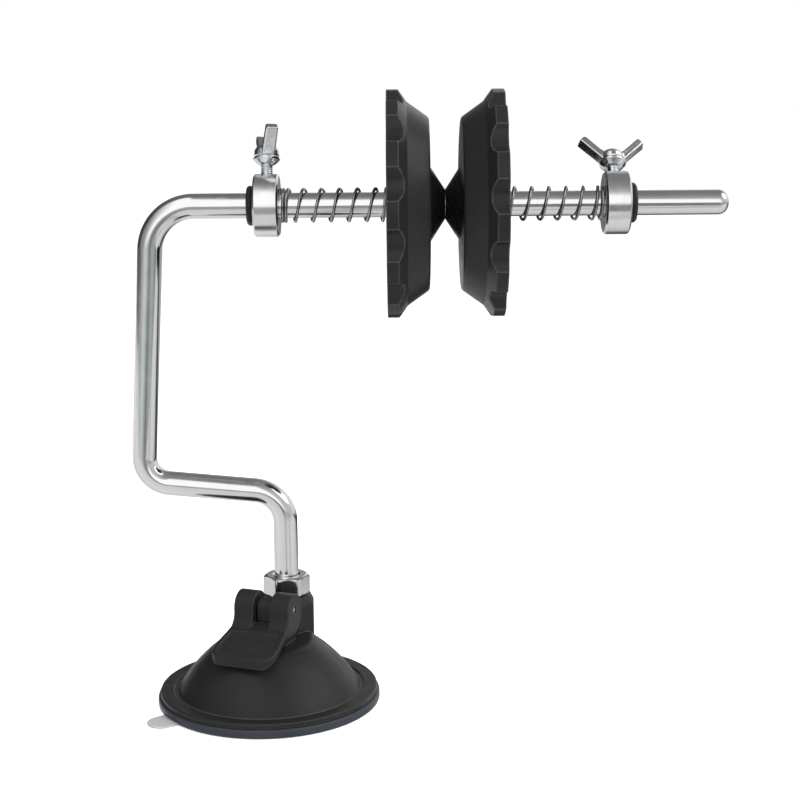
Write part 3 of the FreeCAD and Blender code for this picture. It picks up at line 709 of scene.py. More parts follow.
@dataclass(frozen=True)
class Cast:
    """Plated casting: soft lumps, small pits and an uneven bright sheen."""

    name: str
    dark: Colour = (0.6, 0.62, 0.65)
    pale: Colour = (0.86, 0.87, 0.88)
    gloss: tuple[float, float] = (0.07, 0.2)
    pit: float = 0.55

    def make(self) -> Material:
        """Makes the material: a pit lies round each of the scattered points."""
        recipe = Recipe(self.name)
        where = recipe.coordinates()
        lumps = recipe.noise(where, 2.4, 3.0)
        nearest = recipe.add("TexVoronoi", {"Vector": where, "Scale": 1 / (self.pit * MM)}, "Distance")
        pits = recipe.span(nearest, 0.0, 1.0, 0.05, 0.3)
        return recipe.finish(
            Base_Color=recipe.mix(lumps, self.dark, self.pale),
            Roughness=recipe.span(lumps, *self.gloss, 0.3, 0.7),
            Normal=recipe.bump(pits, 0.01, recipe.bump(lumps, 0.08)),
            Metallic=1.0)


@dataclass(frozen=True)
class ClearStrip:
    """A milky clear plastic strip."""

    name: str
    colour: Colour = (0.56, 0.57, 0.58)

    def make(self) -> Material:
        """Makes the material."""
        recipe = Recipe(self.name)
        where = recipe.coordinates()
        return recipe.finish(
            Base_Color=(*self.colour, 1.0),
            Roughness=recipe.span(recipe.noise(where, 1.5, 3.0), 0.22, 0.42),
            Normal=recipe.bump(recipe.noise(where, 2.5), 0.05),
            Transmission_Weight=0.45,
            IOR=1.46)


class Finishes:
    """Every finish of the winder, made once."""

    def __init__(self) -> None:
        """Makes them all."""
        black = {"dark": (0.0085, 0.0085, 0.0085), "pale": (0.0145, 0.0145, 0.014)}
        self.cone = Moulding("black cone plastic", gloss=(0.25, 0.36), **black).make()
        self.housing = Moulding("black housing plastic", gloss=(0.3, 0.42), **black).make()
        self.lever = Moulding("black lever plastic", gloss=(0.32, 0.42), **black).make()
        self.cup = Moulding("soft cup rubber", (0.019, 0.022, 0.029), (0.029, 0.033, 0.041), (0.3, 0.42),
                            grain=0.8, grain_depth=0.01).make()
        self.ring = Moulding("ring rubber", (0.008, 0.008, 0.008), (0.014, 0.014, 0.014), (0.25, 0.4),
                             grain=0.25, grain_depth=0.01, cloud=3.0).make()
        self.tab = ClearStrip("clear tab plastic").make()
        self.bar = DrawnBar("bright bar steel").make()
        self.collar = Turned("turned collar aluminium", (0.76, 0.76, 0.755), (0.9, 0.9, 0.89),
                             gloss=(0.15, 0.24), ring=0.4).make()
        self.nut = Turned("bright nut steel", along=Z_AXIS, ring=0.5, gloss=(0.1, 0.2)).make()
        self.pin = Turned("bright pin steel", ring=0.3).make()
        self.insert = Turned("insert brass", (0.62, 0.46, 0.2), (0.8, 0.64, 0.34), along=Z_AXIS).make()
        self.screw = Cast("plated cast screw").make()
        self.wire = DrawnBar("spring wire", (0.26, 0.26, 0.26), (0.42, 0.42, 0.42), (0.06, 0.14)).make()
        self.bush = Moulding("pale bush plastic", (0.7, 0.69, 0.64), (0.8, 0.79, 0.75), (0.3, 0.4)).make()


# ---------------------------------------------------------------- the base


@dataclass
class SuctionBase:
    """The cup, its tab, the dome housing, and the lever, stem and pin that draw the cup up."""

    finishes: Finishes
    yaw: float = 21.0
    cup_radius: float = 45.0
    cup_height: float = 3.6
    cup_lip: float = 11.0
    cup_hollow: float = 3.9
    cup_step: float = 33.1
    cup_shoulder: tuple[float, float] = (19.0, 6.3)
    cup_boss: tuple[float, float] = (13.0, 10.8)
    boss_bore: float = 5.5
    tab_angle: float = 214.0
    tab_root: float = 39.0
    tab_reach: float = 48.5
    tab_half: float = 6.0
    tab_thickness: float = 0.8
    rim_radius: float = 44.0
    rim_under: float = 3.7
    rim_top: float = 5.8
    groove: float = 38.6
    dome_foot: tuple[float, float] = (37.2, 5.2)
    dome_arc: float = 70.0
    dome_top: tuple[float, float] = (19.1, 24.8)
    dome_wall: float = 2.6
    crown_points: int = 9
    neck_across: float = 22.0
    neck_heights: tuple[float, float] = (16.5, 39.0)
    neck_chamfer: tuple[float, float] = (1.8, 3.4)
    neck_y: float = 18.5
    insert_across: float = 13.0
    insert_foot: float = 19.5
    flange: tuple[float, float, float] = (4.0, 8.4, 2.0)
    bore: float = 5.05
    pad: tuple[float, float, float] = (20.0, 11.0, 28.3)
    pin_z: float = 38.6
    pin_radius: float = 1.5
    stem: tuple[float, float] = (6.6, 8.0)
    stem_foot: tuple[float, float, float] = (8.0, 6.6, 8.6)
    play: float = 0.05
    ear: float = 6.4
    ear_drop: float = 10.2
    cam: float = 8.6
    ear_gap: float = 7.2
    lever_half: float = 12.2
    tip_half: float = 13.5
    reach: float = 27.0
    tip_drop: float = 13.0
    slope: float = 19.6
    thickness: float = 3.2
    lip: float = 4.4
    corner: float = 5.0
    fillet: float = 6.0
    border: float = 1.7
    dish: float = 0.85
    squareness: float = 0.14
    lip_run: float = 2.4
    tip_edge: float = 0.9
    dish_edge: float = 0.55
    dish_back: float = -9.9
    dish_run: float = 4.0

    def __post_init__(self) -> None:
        """Sets the base's own axes, the tab's place and the hexagon of the insert."""
        self.level = Place(turn_about(Z_AXIS, -self.yaw))
        self.tab_place = Place(turn_about(Z_AXIS, self.tab_angle))
        self.hexagon = polygon(self.insert_across, 6, 0.2, self.neck_y)
        self.rise = math.tan(math.radians(self.slope))

    def make_cup(self) -> None:
        """The soft disc, with its sealing lip, shallow hollow and boss, and a button in its middle.

        The hollow is part of a ball of radius (l^2 + h^2) / 2h, for the lip's radius l and the
        depth h. The button moves up and down with the stem's foot, in the boss's well.
        """
        lip = self.cup_radius - self.cup_lip
        foot_radius, foot, foot_top = self.stem_foot
        well, roof = foot_radius + self.play, foot_top + self.play
        ball = (lip ** 2 + self.cup_hollow ** 2) / (2 * self.cup_hollow)
        reach = np.linspace(well, lip, 24)
        hollow = np.stack([reach, self.cup_hollow - ball + np.sqrt(ball ** 2 - reach ** 2)], axis=-1)
        rim = rounded([
            (lip, 0.0), (self.cup_radius, 0.0, 1.0), (self.cup_radius, self.cup_height, 0.9),
            (self.cup_step, self.cup_height, 2.0), (*self.cup_shoulder, 3.0),
            (*self.cup_boss, 1.2), (self.boss_bore, self.cup_boss[1]), (self.boss_bore, roof), (well, roof)])
        cup = solid(lathe(densify(np.vstack([hollow, rim[1:]]), 2.0), 160), Ends.JOINED)
        slot = slab(self.tab_plan(self.play), -1.0, self.tab_thickness, 0.0)
        combine(cup, Joining.CUT, solid(self.tab_place(slot)))
        finish_piece(cup, Role("suction_disc", "base", "suction_cup", "soft_rubber"), self.finishes.cup)
        edge = section(1.0, foot_radius, self.cup_hollow - 2 * self.play, foot - self.play, 0.2)
        button = solid(lathe(densify(edge, 2.0, closed=False)), Ends.POINTED)
        role = Role("disc_button", "draw_stem", "suction_cup", "soft_rubber")
        finish_piece(button, role, self.finishes.cup)

    def tab_plan(self, gap: float) -> Array:
        """The tab's plan: straight sides and a half-round end.

        Args:
            gap: How much wider and longer it is than the tab itself.

        Returns:
            The closed outline.
        """
        half = self.tab_half + gap
        tip = self.tab_reach + half
        return rounded([(self.tab_root, -half), (tip, -half, half * 0.999), (tip, half, half * 0.999),
                        (self.tab_root, half)])

    def make_tab(self) -> None:
        """The pull tab, a thin strip with soft edges."""
        tab = solid(slab(self.tab_plan(0.0), 0.0, self.tab_thickness, 0.3))
        role = Role("pull_tab", "base", "release_tab", "clear_tab")
        finish_piece(tab, role, self.finishes.tab, where=self.tab_place)

    def dome_profile(self) -> Array:
        """The housing's section: top, dome arc, groove, rim, and back up inside at the wall's depth.

        The arc's centre lies square to the middle of its chord, sqrt(R^2 - (chord / 2)^2) below it.

        Returns:
            The open run of points, as radius and height.
        """
        foot, top = np.array(self.dome_foot), np.array(self.dome_top)
        chord = top - foot
        length = np.linalg.norm(chord)
        square = np.array([chord[1], -chord[0]]) / length
        centre = (top + foot) / 2 - square * math.sqrt(self.dome_arc ** 2 - (length / 2) ** 2)
        angles = np.linspace(*(math.atan2(*(point - centre)[::-1]) for point in (top, foot)), 40)
        ray = np.stack([np.cos(angles), np.sin(angles)], axis=-1)
        outer = centre + ray * self.dome_arc
        inner = (centre + ray * (self.dome_arc - self.dome_wall))[::-1]
        inner = inner[inner[:, 1] > self.rim_under + 0.5]
        rim = rounded([
            tuple(outer[-1]), (self.groove, foot[1], 0.2), (self.groove, self.rim_top, 0.3),
            (self.rim_radius, self.rim_top, 0.6), (self.rim_radius, self.rim_under, 0.35),
            (foot[0] - self.dome_wall, self.rim_under, 0.3), tuple(inner[0])])
        dome = outer[self.crown_points:]
        crown = rounded([(1.0, top[1]), (*top, 8.0), tuple(dome[0])], step=4.0)[:-1]
        under = np.array([[8.0, top[1] - self.dome_wall], [1.0, top[1] - self.dome_wall]])
        return densify(np.vstack([crown, dome, rim[1:-1], inner, under]), 2.0, closed=False)

    def make_housing(self) -> None:
        """The moulded dome with its rim, the octagon neck for the rod and the cam's pad."""
        housing = solid(lathe(self.dome_profile(), LARGE), Ends.POINTED)
        low, high = self.neck_heights
        chamfer, drop = self.neck_chamfer
        bend = high - drop
        heights = np.array([low, low + 8, bend - 0.4, bend, bend + 0.4, high - 0.35, high - 0.1, high])
        depths = np.interp(heights, [low, bend - 0.2, bend + 0.2, high - 0.3, high - 0.1, high],
                           [0.0, 0.0, 0.2, chamfer - 0.2, chamfer, chamfer + 0.25])
        neck = solid(np.stack([at_height(polygon(self.neck_across - 2 * depth, 8, 0.5, self.neck_y), height)
                               for height, depth in zip(heights, depths)]))
        width, breadth, pad_top = self.pad
        pad = solid(slab(oblong(width, breadth, 0.8), self.dome_top[1] - 2.0, pad_top, 0.4))
        for part in (housing, neck):
            combine(part, Joining.CUT, solid(slab(self.hexagon, self.insert_foot, high + 1, 0.0)))
        combine(housing, Joining.ADD, neck, pad)
        slot = oblong(self.stem[0] + 2 * self.play, self.stem[1] + 2 * self.play, 0.3)
        combine(housing, Joining.CUT, solid(slab(slot, 10.0, pad_top + 5, 0.0)))
        role = Role("dome_shell", "base", "dome_housing", "black_plastic")
        finish_piece(housing, role, self.finishes.housing, 28.0, self.level)

    def make_insert(self) -> None:
        """The hexagon insert in the neck, a bored bar with a flange."""
        low, high = self.insert_foot, self.neck_heights[1]
        middle = np.array([0.0, self.neck_y, 0.0])
        inner, outer, thickness = self.flange
        flange = lathe(section(inner, outer, low, low + thickness, 0.2), SMALL) + middle
        bore = np.array([[self.bore, low - 1], [self.bore, high - 0.6], [self.bore + 1.0, high + 0.4]])
        body = solid(slab(self.hexagon, low, high, 0.1, 1))
        combine(body, Joining.ADD, solid(flange, Ends.JOINED))
        combine(body, Joining.CUT, solid(lathe(bore, SMALL) + middle))
        role = Role("neck_insert", "base", "threaded_insert", "insert_brass")
        finish_piece(body, role, self.finishes.insert, where=self.level)

    def make_stem(self) -> None:
        """The flat draw stem: its blade has a half-round top, and its foot is a disc."""
        width, half = self.stem[0], self.stem[1] / 2
        radius, low, high = self.stem_foot
        top, round_top = self.pin_z + half, half - 0.01
        outline = rounded([(-half, low + 1), (half, low + 1), (half, top, round_top),
                           (-half, top, round_top)])
        stem = solid(slab(outline, -width / 2, width / 2, 0.9)[..., PLAN_YZ])
        foot = solid(lathe(section(1.0, radius, low, high, 0.4), SMALL), Ends.POINTED)
        combine(stem, Joining.ADD, foot)
        role = Role("draw_blade", "draw_stem", "cup_stem", "black_plastic")
        finish_piece(stem, role, self.finishes.lever, where=self.level)

    def make_pin(self) -> None:
        """The lever's pin, with chamfered ends."""
        low, high = node_box("lever_pin")
        yaw = math.radians(self.yaw)
        half = (high[0] - low[0]) / 2 / math.cos(yaw) - self.pin_radius * math.tan(yaw) + 0.1
        profile = densify(section(0.3, self.pin_radius, -half, half, 0.35), 3.0, closed=False)
        pin = solid(lathe(profile, 48)[..., AXIS_X], Ends.POINTED)
        role = Role("cross_pin", "draw_stem", "lever_pin", "pin_steel")
        where = Place(self.level.turn, (0.0, 0.0, self.pin_z))
        finish_piece(pin, role, self.finishes.pin, where=where)

    def paddle_grid(self) -> Array:
        """The paddle: at each y a closed section of half width w, with a dished top and rolled edge.

        The half width follows the plan: straight sides that flare to the tip, then quarter rounds.
        A point of the section at angle a lies at w * |cos a|^n across and half the thickness
        * |sin a|^n up, with n small, which gives a rounded rectangle. The dish is a smooth step of
        the distance from the plan's edge.

        Returns:
            The grid, which takes flat ends.
        """
        back, tip = -self.stem[1] / 2 - 0.7, -self.reach
        start = tip + self.corner
        run = np.concatenate([np.linspace(back, start, 46)[:-1],
                              tip + self.corner * (1 - np.sin(np.linspace(0, math.pi / 2, 24)))])
        flare = np.interp(-run, [self.ear + 2, self.reach - self.corner - 4],
                          [self.lever_half, self.tip_half])
        past = np.clip((start - run) / self.corner, 0, 1)
        half = flare - self.corner * (1 - np.sqrt(1 - past ** 2))
        end_round = np.clip((tip + self.tip_edge - run) / self.tip_edge, 0, 1)
        shrink = self.tip_edge * (1 - np.sqrt(1 - end_round ** 2))
        across, up = (np.sign(wave) * np.abs(wave) ** self.squareness
                      for wave in (np.cos(full_turn(LARGE)), np.sin(full_turn(LARGE))))
        y = run[:, None] + 0 * across
        x = (half - shrink * 0.3)[:, None] * across
        top = -self.tip_drop + (self.reach + run) * self.rise
        lip = np.clip((tip + self.lip_run - run) / self.lip_run, 0, 1)
        under = top - self.thickness - (self.lip - self.thickness) * lip
        z = ((top + under) / 2)[:, None] + ((top - under) / 2 - shrink)[:, None] * up
        corner_x = np.clip(np.abs(x) - (self.tip_half - self.corner), 0, None)
        corner_y = np.clip(start - y, 0, None)
        inside = np.where((corner_x > 0) & (corner_y > 0), self.corner - np.hypot(corner_x, corner_y),
                          np.minimum(half[:, None] - np.abs(x), y - tip))
        hollow = self.dish * eased((inside - self.border) / self.dish_edge)
        hollow *= eased((self.dish_back - y) / self.dish_run)
        return np.stack([x, y, z - hollow * (up > 0.5) + self.pin_z], axis=-1)

    def ear_outline(self) -> Array:
        """One ear from the side: round over the pin, a concave front, and the cam's round behind.

        Returns:
            The closed outline, in y and z from the pin.
        """
        lean = math.radians(self.slope)
        knee = -self.tip_drop + (self.reach - self.ear) * self.rise
        front = -self.ear - self.fillet * math.tan((math.pi / 2 - lean) / 2) * math.cos(lean) - 1.0
        front_top = -self.tip_drop + (self.reach + front) * self.rise
        head = polar(self.ear, np.linspace(0, math.pi, 30), 0.0)[:, :2]
        concave = rounded([(-self.ear, 0.0), (-self.ear, knee, self.fillet), (front, front_top)])[1:]
        under = np.array([[front, front_top - self.thickness + 0.3], [front + 3.0, -self.ear_drop]])
        heel = polar(self.cam, np.linspace(-math.pi / 2, 0, 16), 0.0)[:, :2]
        heel = heel + np.array([self.ear - self.cam, self.cam - self.ear_drop])
        return np.vstack([head, concave, under, heel])

    def make_lever(self) -> None:
        """The cam lever: two ears and a paddle, run together and softened like the moulding it is."""
        outline = densify(self.ear_outline(), 1.2)
        pin = np.array([0.0, 0.0, self.pin_z])
        near, far = self.ear_gap / 2, self.lever_half
        ears = [solid(slab(outline, low, high, 0.45)[..., PLAN_YZ] + pin)
                for low, high in ((-far, -near), (near, far))]
        lever = combine(solid(self.paddle_grid()), Joining.ADD, *ears)
        radius, reach = self.pin_radius + self.play, 20.0
        hole = lathe(np.array([[radius, -reach], [radius, reach]]), 48)[..., AXIS_X] + pin
        combine(lever, Joining.CUT, solid(hole))
        role = Role("lever_moulding", "lever", "cam_lever", "black_plastic")
        finish_piece(melt(lever, 0.2), role, self.finishes.lever, 60.0, self.level)

    def build(self) -> None:
        """Makes every piece of the base."""
        self.make_cup()
        self.make_tab()
        self.make_housing()
        self.make_insert()
        self.make_stem()
        self.make_pin()
        self.make_lever()


# ---------------------------------------------------------------- the rod


@dataclass
class BentRod:
    """The bent bar and the nut that locks it in the neck."""

    finishes: Finishes
    radius: float = 5.0
    top_corner: float = -44.1
    mast_length: float = 112.2
    mast_lean: float = 3.53
    arm_slope: float = 5.35
    bends: tuple[float, float, float] = (18.0, 11.0, 13.0)
    end_round: float = 4.2
    play: float = 0.05
    foot_chamfer: float = 1.0
    nut_across: float = 17.0
    nut_turn: float = 7.3
    nut_chamfer: float = 0.7
    nut_face: float = 8.15
    nut_soft: float = 0.1
    nut_rows: int = 9

    def path(self, shaft: Sequence[float], stub: Sequence[float]) -> Array:
        """The bar's centre line in its own plane, with an arc at each bend.

        Args:
            shaft: The x and z of the shaft's free end.
            stub: The x and z of the stub's foot.

        Returns:
            Points (x, z), from the shaft's end to the stub's foot.
        """
        lean = math.radians(self.mast_lean)
        low = (self.top_corner - self.mast_length * math.sin(lean),
               shaft[1] - self.mast_length * math.cos(lean))
        knee = low[1] - (stub[0] - low[0]) * math.tan(math.radians(self.arm_slope))
        return rounded([shaft, (self.top_corner, shaft[1], self.bends[0]), (*low, self.bends[1]),
                        (stub[0], knee, self.bends[2]), stub], step=3.0)

    def make_bar(self) -> None:
        """The bar, swept along its path, with a rounded free end and a chamfered foot."""
        low, high = node_box("bent_rod")
        middle = np.mean(node_box("lock_nut"), axis=0)
        shaft_height = np.mean(node_box("left_o_ring"), axis=0)[2]
        line = densify(self.path((high[0], shaft_height), (middle[0], low[2])), 3.0, closed=False)
        travel = np.concatenate([[0.0], np.cumsum(np.linalg.norm(np.diff(line, axis=0), axis=1))])
        start = self.end_round * (1 - np.cos(np.linspace(0, math.pi / 2, 20)))
        end = travel[-1] - np.array([self.foot_chamfer + 0.1, self.foot_chamfer, 0.05, 0.0])
        stations = np.unique(np.concatenate([start, travel[travel > self.end_round + 0.2][:-1], end]))
        before = np.clip(self.end_round - stations, 0, None)
        lost = self.end_round - np.sqrt(np.clip(self.end_round ** 2 - before ** 2, 0, None))
        radius = self.radius - lost - np.clip(stations - travel[-1] + self.foot_chamfer, 0, None)
        x, z = (np.interp(stations, travel, line[:, axis]) for axis in (0, 1))
        side = np.tile(Y_AXIS, (len(x), 1))
        bar = solid(sweep(np.stack([x, np.full(len(x), middle[1]), z], axis=-1), side, radius, 72))
        finish_piece(bar, Role("bent_bar", "rod", "bent_rod", "rod_steel"), self.finishes.bar)

    def make_nut(self) -> None:
        """The plain hexagon nut: flats, corners cut by a 30 degree cone at each end, a chamfered bore.

        At angle a the flats lie at (across / 2) / cos(a), with a taken from the nearest flat's
        middle, and a corner loses (r - r0) * tan 30 of its height. The lower half's rows are
        mirrored for the upper half.
        """
        low, high = node_box("lock_nut")
        height = high[2] - low[2]
        angles = full_turn(288)
        flats = self.nut_across / 2 / np.cos(np.mod(angles, math.pi / 3) - math.pi / 6)
        soft, face, bore = self.nut_soft, self.nut_face, self.radius + self.play
        corner = self.nut_across / 2 / math.cos(math.pi / 6) - soft
        flats = np.minimum(flats, corner - soft * np.exp(-((flats - corner) / soft) ** 2))
        cone = (flats - face) * math.tan(math.radians(30))
        flat = np.array([[bore, self.nut_chamfer], [bore + self.nut_chamfer, 0.0], [face - soft, 0.0]])
        share = np.array([[0.0], [0.5], [0.94]])
        reach = np.vstack([flat[:, :1] + 0 * angles, face + (flats - face) * share])
        rise = np.vstack([flat[:, 1:] + 0 * angles, soft / 2 + cone * share])
        side = np.linspace(0, 1, self.nut_rows)[:, None]
        wall = 1.5 * soft + cone + (height - 3 * soft - 2 * cone) * side
        grid = polar(np.vstack([reach, flats + 0 * side, reach[::-1]]), angles,
                     np.vstack([rise, wall, height - rise[::-1]]))
        where = Place(turn_about(Z_AXIS, self.nut_turn), (*((low + high) / 2)[:2], low[2]))
        role = Role("hexagon_nut", "nut", "lock_nut", "nut_steel")
        finish_piece(solid(grid, Ends.JOINED), role, self.finishes.nut, 24.0, where)

    def build(self) -> None:
        """Makes the bar and its nut."""
        self.make_bar()
        self.make_nut()


# ---------------------------------------------------------------- what rides on the shaft


class Side(Enum):
    """Which half of the shaft a set is on; the value is the way its z points along x."""

    LEFT = 1
    RIGHT = -1


@dataclass
class ShaftSet:
    """One side's ring, collar, wing screw, spring, washer, bush and taper cone."""

    finishes: Finishes
    side: Side
    lean: float
    wing_turn: float
    screw_rise: float
    scoop_turn: float
    spring_turns: float
    closed_turns: float
    bore: float = 5.05
    collar_radius: float = 12.5
    collar_chamfer: float = 0.7
    cord: float = 2.9
    spring_radius: float = 6.4
    wire: float = 1.2
    play: float = 0.04
    last_closed: float = 0.3
    closed_pitch: float = 1.07
    turn_points: int = 48
    ground: tuple[float, float] = (0.5, 0.3)
    pressed: float = 0.309
    washer_radius: float = 8.6
    cone_radius: float = 45.0
    cone_length: float = 23.1
    face_depth: float = 5.9
    face_margin: float = 11.0
    rim: float = 4.7
    cone_wall: float = 2.3
    hub: float = 9.0
    recess: float = 1.5
    bush_radius: float = 6.2
    bush_length: float = 13.5
    scoops: int = 12
    scoop_radius: float = 8.4
    scoop_centre: float = 50.1
    scoop_knee: float = 0.2
    ribs: int = 6
    rib_width: float = 1.6
    screw_radius: float = 2.45
    screw_length: float = 13.7
    thread_pitch: float = 0.8
    thread_depth: float = 0.16
    thread_top: float = -2.8
    thread_ends: tuple[float, float] = (0.4, 0.8)
    thread_core: float = 1.9
    head: Corners = (
        (0.4, -2.7), (2.55, -2.7, 0.2), (3.7, -2.1, 0.8), (5.35, -0.5, 0.25), (5.35, 0.45, 0.25),
        (4.6, 0.65, 0.12), (5.05, 1.2, 0.3), (4.95, 3.3, 1.5), (3.6, 5.3, 2.2), (0.4, 5.7))
    wing: Corners = (
        (1.6, -0.9), (4.6, 0.7, 2.0), (13.5, 9.6, 0.7), (11.2, 12.0, 1.0), (4.7, 5.5, 2.5), (1.6, 3.4))
    wing_run: tuple[float, float] = (4.5, 8.9)
    wing_root: float = 5.2
    wing_tip: float = 4.7
    wing_shear: float = 0.35

    def own(self, part: str) -> str:
        """This side's name for a node, a body, a joint or a piece."""
        return f"{self.side.name.lower()}_{part}"

    def role(self, name: str, body: str, node: str, slot: str) -> Role:
        """The role of one of this side's pieces."""
        return Role(self.own(name), self.own(body), self.own(node), slot)

    def axes(self, lean: float = 0.0, spin: float = 0.0) -> Array:
        """The turn from a shaft piece's own axes: z to the other cone, y up, tipped back by lean."""
        upright = turn_about((1.0, 1.0, 1.0), 120.0)
        facing = turn_about(Z_AXIS, 0.0 if self.side is Side.LEFT else 180.0)
        return turn_about(X_AXIS, -lean) @ facing @ upright @ turn_about(Z_AXIS, spin)

    def ends(self, part: str) -> Array:
        """The x of a part's two ends, first the one away from the other cone."""
        low, high = node_box(self.own(part))
        return np.array([low[0], high[0]])[::self.side.value]

    def width(self, part: str) -> float:
        """A part's length along the shaft."""
        return float(np.ptp(self.ends(part)))

    def on_shaft(self, x: float) -> Array:
        """The point of the shaft's line at an x."""
        return np.array([x, *np.mean(node_box(self.own("o_ring")), axis=0)[1:]])

    def place(self, part: str, lean: float = 0.0, spin: float = 0.0) -> Place:
        """Own axes with their origin on the shaft's line, at the part's end away from the other cone."""
        return Place(self.axes(lean, spin), self.on_shaft(self.ends(part)[0]))

    def make_ring(self) -> None:
        """The rubber ring outside the collar."""
        radius, angles = self.cord / 2, full_turn(40)
        profile = radius * np.stack([np.cos(angles), np.sin(angles)], axis=-1) + (self.bore + radius, radius)
        role = self.role("ring_seal", "carriage", "o_ring", "black_ring_rubber")
        ring = solid(lathe(profile), Ends.JOINED)
        finish_piece(ring, role, self.finishes.ring, where=self.place("o_ring"))

    def make_collar(self) -> None:
        """The turned collar, bored and chamfered, with a countersunk hole for its screw."""
        width, radius, cut = self.width("collar"), self.collar_radius, self.collar_chamfer
        profile = rounded([
            (self.bore, 0.0, 0.25), (radius - cut, 0.0, 0.15), (radius, cut, 0.15),
            (radius, width - cut, 0.15), (radius - cut, width, 0.15), (self.bore, width, 0.25)])
        collar = solid(lathe(densify(profile, 1.5), LARGE), Ends.JOINED)
        hole = self.screw_radius + 0.05
        cutter = lathe(np.array([[hole, 3.0], [hole, 11.85], [hole + 1.3, 13.2]]), SMALL)
        combine(collar, Joining.CUT, solid(Place(turn_about(X_AXIS, -90.0), (0.0, 0.0, width / 2))(cutter)))
        role = self.role("clamp_ring", "clamp", "collar", "turned_aluminium")
        finish_piece(collar, role, self.finishes.collar, 24.0, self.place("collar", self.lean))

    def thread(self, radius: Array, height: Array, angle: Array) -> Array:
        """A single-start thread: the radius falls by the depth times a wave of z / pitch - a / turn.

        The wave is a triangle, made a little steeper and cut off flat at crest and root. It fades
        out at both ends of the thread.

        Args:
            radius: The plain radius.
            height: The height along the screw.
            angle: The angle round it.

        Returns:
            The cut radius.
        """
        fade_top, fade_foot = self.thread_ends
        wave = np.abs(2 * np.mod(height / self.thread_pitch - angle / TURN, 1.0) - 1)
        ends = (np.clip((self.thread_top - height) / fade_top, 0, 1)
                * np.clip((height + self.screw_length) / fade_foot, 0, 1))
        cut = np.clip(1.35 * wave - 0.15, 0, 1) * ends * (radius > self.thread_core)
        return radius - self.thread_depth * cut

    def make_screw(self) -> None:
        """The wing screw: a threaded shank, and a head cast in one with its two wings."""
        lean, radius, length = math.radians(self.lean), self.screw_radius, self.screw_length
        rise = self.screw_rise * np.array([0.0, math.sin(lean), math.cos(lean)])
        where = Place(turn_about(X_AXIS, -self.lean) @ turn_about(Z_AXIS, self.wing_turn),
                      self.on_shaft(self.ends("collar").mean()) + rise)
        shank = np.array([[0.4, -length], [radius - 0.7, -length], [radius, 0.7 - length], [radius, -1.8]])
        thread = solid(lathe(densify(shank, 0.08, closed=False), SMALL, self.thread), Ends.POINTED)
        role = self.role("screw_shank", "screw", "wing_screw", "cast_metal")
        finish_piece(thread, role, self.finishes.screw, 50.0, where)
        head = Shell().add(where(lathe(densify(rounded(self.head), 1.0, closed=False))), Ends.POINTED)
        for way in (-1, 1):
            head.add(where(self.wing_grid(way)))
        role = self.role("screw_head", "screw", "wing_screw", "cast_metal")
        finish_piece(melt(head.build(), 0.13), role, self.finishes.screw, 70.0)

    def wing_grid(self, way: int) -> Array:
        """One wing, a bar that rises outwards and narrows towards its slanted tip.

        A plate is drawn in the screw's x and z and given its depth along y. Each point's depth is
        scaled from the root's to the tip's by its share of the way out, and moves outwards by the
        shear times that share and the depth.

        Args:
            way: 1 for the wing on the right and -1 for the left one.

        Returns:
            The grid, which takes flat ends.
        """
        root = self.wing_root / 2
        across, rise, depth = np.moveaxis(slab(densify(rounded(self.wing), 0.8), -root, root, 0.8, 6), -1, 0)
        share = np.clip((across - self.wing_run[0]) / self.wing_run[1], 0, 1)
        deep = depth * (1 - (1 - self.wing_tip / self.wing_root) * share)
        return np.stack([way * (across + self.wing_shear * share * depth / root), deep, rise], axis=-1)

    def make_spring(self) -> None:
        """The left-hand spring: closed coils at the collar, open ones to the washer.

        A point at turn t lies at angle 90 - 360 t, and its height is the sum of the pitch so far:
        closed coils rise by a little over the wire, and the open ones share the length that is left.
        The wire's ends are ground thinner.
        """
        start = self.ends("collar")[1]
        length = abs(self.ends("thrust_washer")[0] - start) - self.wire - self.play
        turns = np.linspace(0, self.spring_turns, round(self.spring_turns * self.turn_points) + 1)
        middle = (turns[1:] + turns[:-1]) / 2
        opened = np.clip(middle - self.closed_turns, 0, 1) * np.clip(
            self.spring_turns - self.last_closed - middle, 0, 1)
        closed = self.wire * self.closed_pitch * np.diff(turns)
        spare = (length - closed.sum()) * opened / opened.sum()
        height = self.wire / 2 + np.concatenate([[0.0], np.cumsum(closed + spare)])
        angle = math.pi / 2 - TURN * turns
        path = polar(self.spring_radius, angle, height)
        travel = np.arange(len(path)) * np.linalg.norm(path[1] - path[0])
        near_end = np.minimum(travel, travel[::-1])
        radius = self.wire / 2 * np.sqrt(np.clip(near_end / self.ground[0], self.ground[1], 1))
        coil = solid(sweep(path, polar(1.0, angle, 0.0), radius, 20))
        anchor = self.on_shaft(start)
        role = self.role("coil", "carriage", "spring", "spring_steel")
        spring = finish_piece(coil, role, self.finishes.wire, 80.0, Place(self.axes(), anchor))
        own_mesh(spring)

    def make_small_tubes(self) -> None:
        """The thrust washer and the cone's bush."""
        for part, outer, edge, body, slot, finish in (
                ("thrust_washer", self.washer_radius, 0.15, "pusher", "pin_steel", self.finishes.pin),
                ("hub_bush", self.bush_radius, 0.3, "cone", "bush_plastic", self.finishes.bush)):
            profile = section(self.bore, outer, 0.0, self.width(part) - self.play, edge, edge)
            tube = solid(lathe(densify(profile, 2.0)), Ends.JOINED)
            finish_piece(tube, self.role(f"{part}_turned", body, part, slot), finish, where=self.place(part))

